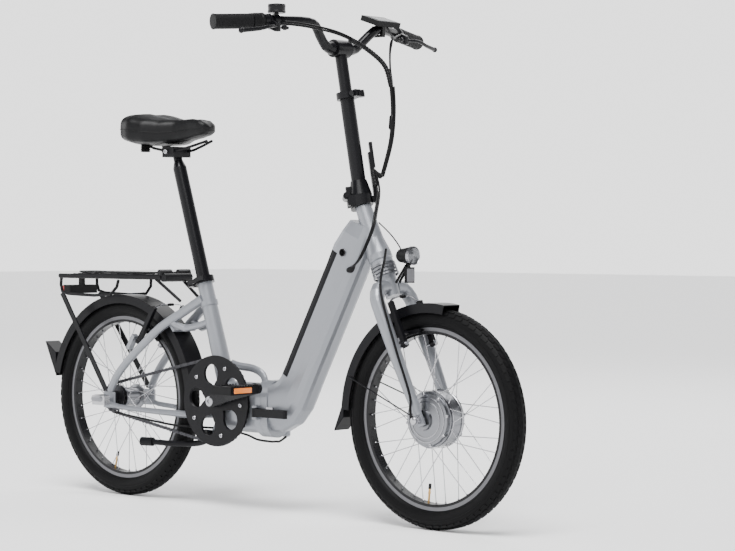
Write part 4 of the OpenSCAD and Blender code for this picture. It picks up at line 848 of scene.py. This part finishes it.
low_run2 = tube(
    "cable_run_second", [v + Vector((0.005, 0.004 * (1 - i / 3), 0.0)) for i, v in enumerate(lower)],
    0.0025, CABLE, None, n=10
)
boot = lathe(
    "cable_boot", lower[1].lerp(lower[2], 0.1), tuple(lower[2] - lower[1]),
    [(0, 0.0045), (0.004, 0.0068), (0.030, 0.0068), (0.034, 0.0045)], CABLE, None, n=24
)
for o in (right_top, right_top2, wrap_top, left_top, display_top):
    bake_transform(o)
for o in (low_run, low_run2, boot):
    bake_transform(o)
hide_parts("bar_cables")
TD = Vector((0.4793, 0, 0.8777)).normalized()
HIGH = HEAD + Vector((-0.045, 0, -0.15))
TO = Vector((TD.z, 0, -TD.x))
entry = [
    steer(0.064, -0.004, -0.060), steer(0.060, -0.008, -0.010), steer(0.048, -0.028, 0.040),
    steer(0.034, -0.046, 0.080), HIGH + TD * 0.062 + TO * 0.050 - Y * 0.046,
    HIGH + TD * 0.030 + TO * 0.034 - Y * 0.038
]
runs = [
    tube("frame_cable_a", entry, 0.0026, CABLE, None, n=10),
    tube(
        "frame_cable_b",
        [
            v + Vector((0.004, 0.003, 0.004)) for v in entry[:-1]
        ] + [entry[-1] + Vector((0.003, 0.0, 0.003))],
        0.0024, CABLE, None, n=10
    ),
    spiral(
        "cable_wrap_lower",
        [
            lower[-1].lerp(entry[0], 0.1), lower[-1].lerp(entry[0], 0.6), entry[0],
            entry[0].lerp(entry[1], 0.7)
        ],
        0.0058, CABLE, None, 16
    )
]
for o in runs:
    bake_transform(o)
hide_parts("frame_cables")
# teardrop grommet round the cables' way into the frame
verts, faces = [], []
n = 40
for k, (grow, rise) in enumerate(((1.0, 0.0), (0.96, 0.003), (0.72, 0.0055), (0.35, 0.0062))):
    for i in range(n):
        a = 2 * math.pi * i / n
        u, v = 0.009 * math.cos(a), 0.0095 * math.sin(a)
        if u > 0:
            u *= 2.1
            v *= max(0.0, 1 - (u / 0.0192) ** 1.6)
        at = HIGH + TD * (0.022 + u * grow) + TO * (0.031 + v * grow + u * grow * 0.5)
        verts.append(Vector((at.x, -0.0352 - rise, at.z)))
for k in range(3):
    for i in range(n):
        faces.append((k * n + i, k * n + (i + 1) % n, (k + 1) * n + (i + 1) % n, (k + 1) * n + i))
faces.append(tuple(3 * n + i for i in range(n)))
faces.append(tuple(range(n - 1, -1, -1)))
mesh("cable_grommet", verts, faces, RUBBER, "front_frame")

# ridged rings of the lower headset
for t, r in ((0.150, 0.0288), (0.158, 0.0292), (0.166, 0.0295), (0.174, 0.0298)):
    prof = [(-0.003, r - 0.0012), (-0.0022, r + 0.0006), (0.0022, r + 0.0008), (0.003, r - 0.0010)]
    lathe(
        f"headset_ring_{int(t * 1000)}", steer(0, 0, t), tuple(-STEER_UP), prof, ALLOY_SATIN,
        "front_frame", n=72, closed=True
    )

# rubber bellows on a brake wire
BELLOWS = [(0, 0.0022)]
for k in range(6):
    BELLOWS += [(0.002 + k * 0.003, 0.0038), (0.0035 + k * 0.003, 0.0026)]
BELLOWS.append((0.021, 0.002))

# motor cable and front brake cable down the fork
motor_cable = tube(
    "motor_cable",
    [
        steer(0.040, -0.020, CROWN - 0.090), steer(0.040, -0.040, CROWN - 0.060),
        steer(0.026, -0.062, CROWN - 0.010), steer(0.024, -0.074, CROWN + 0.050),
        steer(0.020, -0.076, FORK_LEN - 0.160), steer(0.014, -0.073, FORK_LEN - 0.060),
        steer(0.006, -0.078, FORK_LEN - 0.026), steer(0.0, -0.079, FORK_LEN - 0.001)
    ],
    0.0030, CABLE, "fork", n=10
)
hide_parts("fork_cables")
tube(
    "headlight_cable",
    [
        steer(0.045, -0.02, 0.06), steer(0.062, -0.012, 0.10), steer(0.070, -0.006, 0.14),
        LIGHT + Vector((-0.018, -0.004, -0.006))
    ],
    0.0016, CABLE, "fork", n=8
)
noodle_f = [
    steer(0.024, 0.050, FORK_LEN - 0.278), steer(0.024, 0.030, FORK_LEN - 0.292),
    steer(0.024, 0.0, FORK_LEN - 0.292), steer(0.024, -0.030, FORK_LEN - 0.288),
    steer(0.024, -0.046, FORK_LEN - 0.280)
]
tube("front_brake_wire", noodle_f, [0.0012, 0.0012, 0.0012, 0.0024, 0.0024], STEEL, "fork", n=8)
lathe(
    "front_brake_bellows", steer(0.024, 0.012, FORK_LEN - 0.292), (0, -1, 0), BELLOWS, RUBBER, "fork",
    n=16
)


def ring(r, deg, y):
    return HUBS["rear"] + Vector((r * math.sin(rad(deg)), y, r * math.cos(rad(deg))))


noodle_r = [
    ring(0.276, 33, 0.050), ring(0.284, 33, 0.030), ring(0.285, 33, 0.0), ring(0.284, 33, -0.030),
    ring(0.276, 33, -0.046)
]
tube("rear_brake_wire", noodle_r, [0.0012, 0.0012, 0.0012, 0.0024, 0.0024], STEEL, "rear_frame", n=8)
lathe("rear_brake_bellows", ring(0.285, 33, 0.012), (0, -1, 0), BELLOWS, RUBBER, "rear_frame", n=16)
gear = tube(
    "gear_cable",
    [
        Vector((-0.4485, -0.081, 0.216)), Vector((-0.3385, -0.066, 0.202)),
        Vector((-0.2525, -0.038, 0.190)), Vector((-0.2025, -0.006, 0.188)),
        Vector((-0.1605, 0.024, 0.184)), Vector((-0.0785, 0.016, 0.176)), Vector((-0.0255, 0.002, 0.168)),
        Vector((0.0245, 0.0, 0.166))
    ],
    0.0028, CABLE, "rear_frame", n=10
)
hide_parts("rear_cables")
tube(
    "fold_cable",
    [
        Vector((0.0245, 0.0, 0.166)), Vector((0.0385, 0.0, 0.1675)), Vector((0.0505, 0.0, 0.169)),
        Vector((0.0715, 0.0, 0.181))
    ],
    0.0028, CABLE, "front_frame", n=10
)

# ---------- bolts ----------
for s in (-1, 1):
    side = side_name(s)
    arm = "arm_right" if s < 0 else "arm_left"
    at = steer(0.024 + 0.0062, s * 0.050, FORK_LEN - 0.174)
    bolt("front_arm_bolt_" + side, at, STEER_OUT, 0.0062, 0.004, STEEL, "front_" + arm)
    rx = Vector((math.cos(rad(33)), 0, -math.sin(rad(33))))
    at = ring(0.174, 33, s * 0.050) + rx * 0.0062
    bolt("rear_arm_bolt_" + side, at, rx, 0.0062, 0.004, STEEL, "rear_" + arm)
lo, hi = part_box("battery_lock")
lathe(
    "lock_face", ((lo[0] + hi[0]) / 2, lo[1] + 0.0004, (lo[2] + hi[2]) / 2), (0, -1, 0),
    [(0, 0.0098), (0.0012, 0.0094), (0.0012, 0.0064), (0.0004, 0.006)], BLACK, "lock_core", n=40
)
block(
    "lock_key_slot", ((lo[0] + hi[0]) / 2, lo[1] - 0.0006, (lo[2] + hi[2]) / 2), (0.0014, 0.0008, 0.006),
    BLACK, "lock_core", bevel=0.0002
)
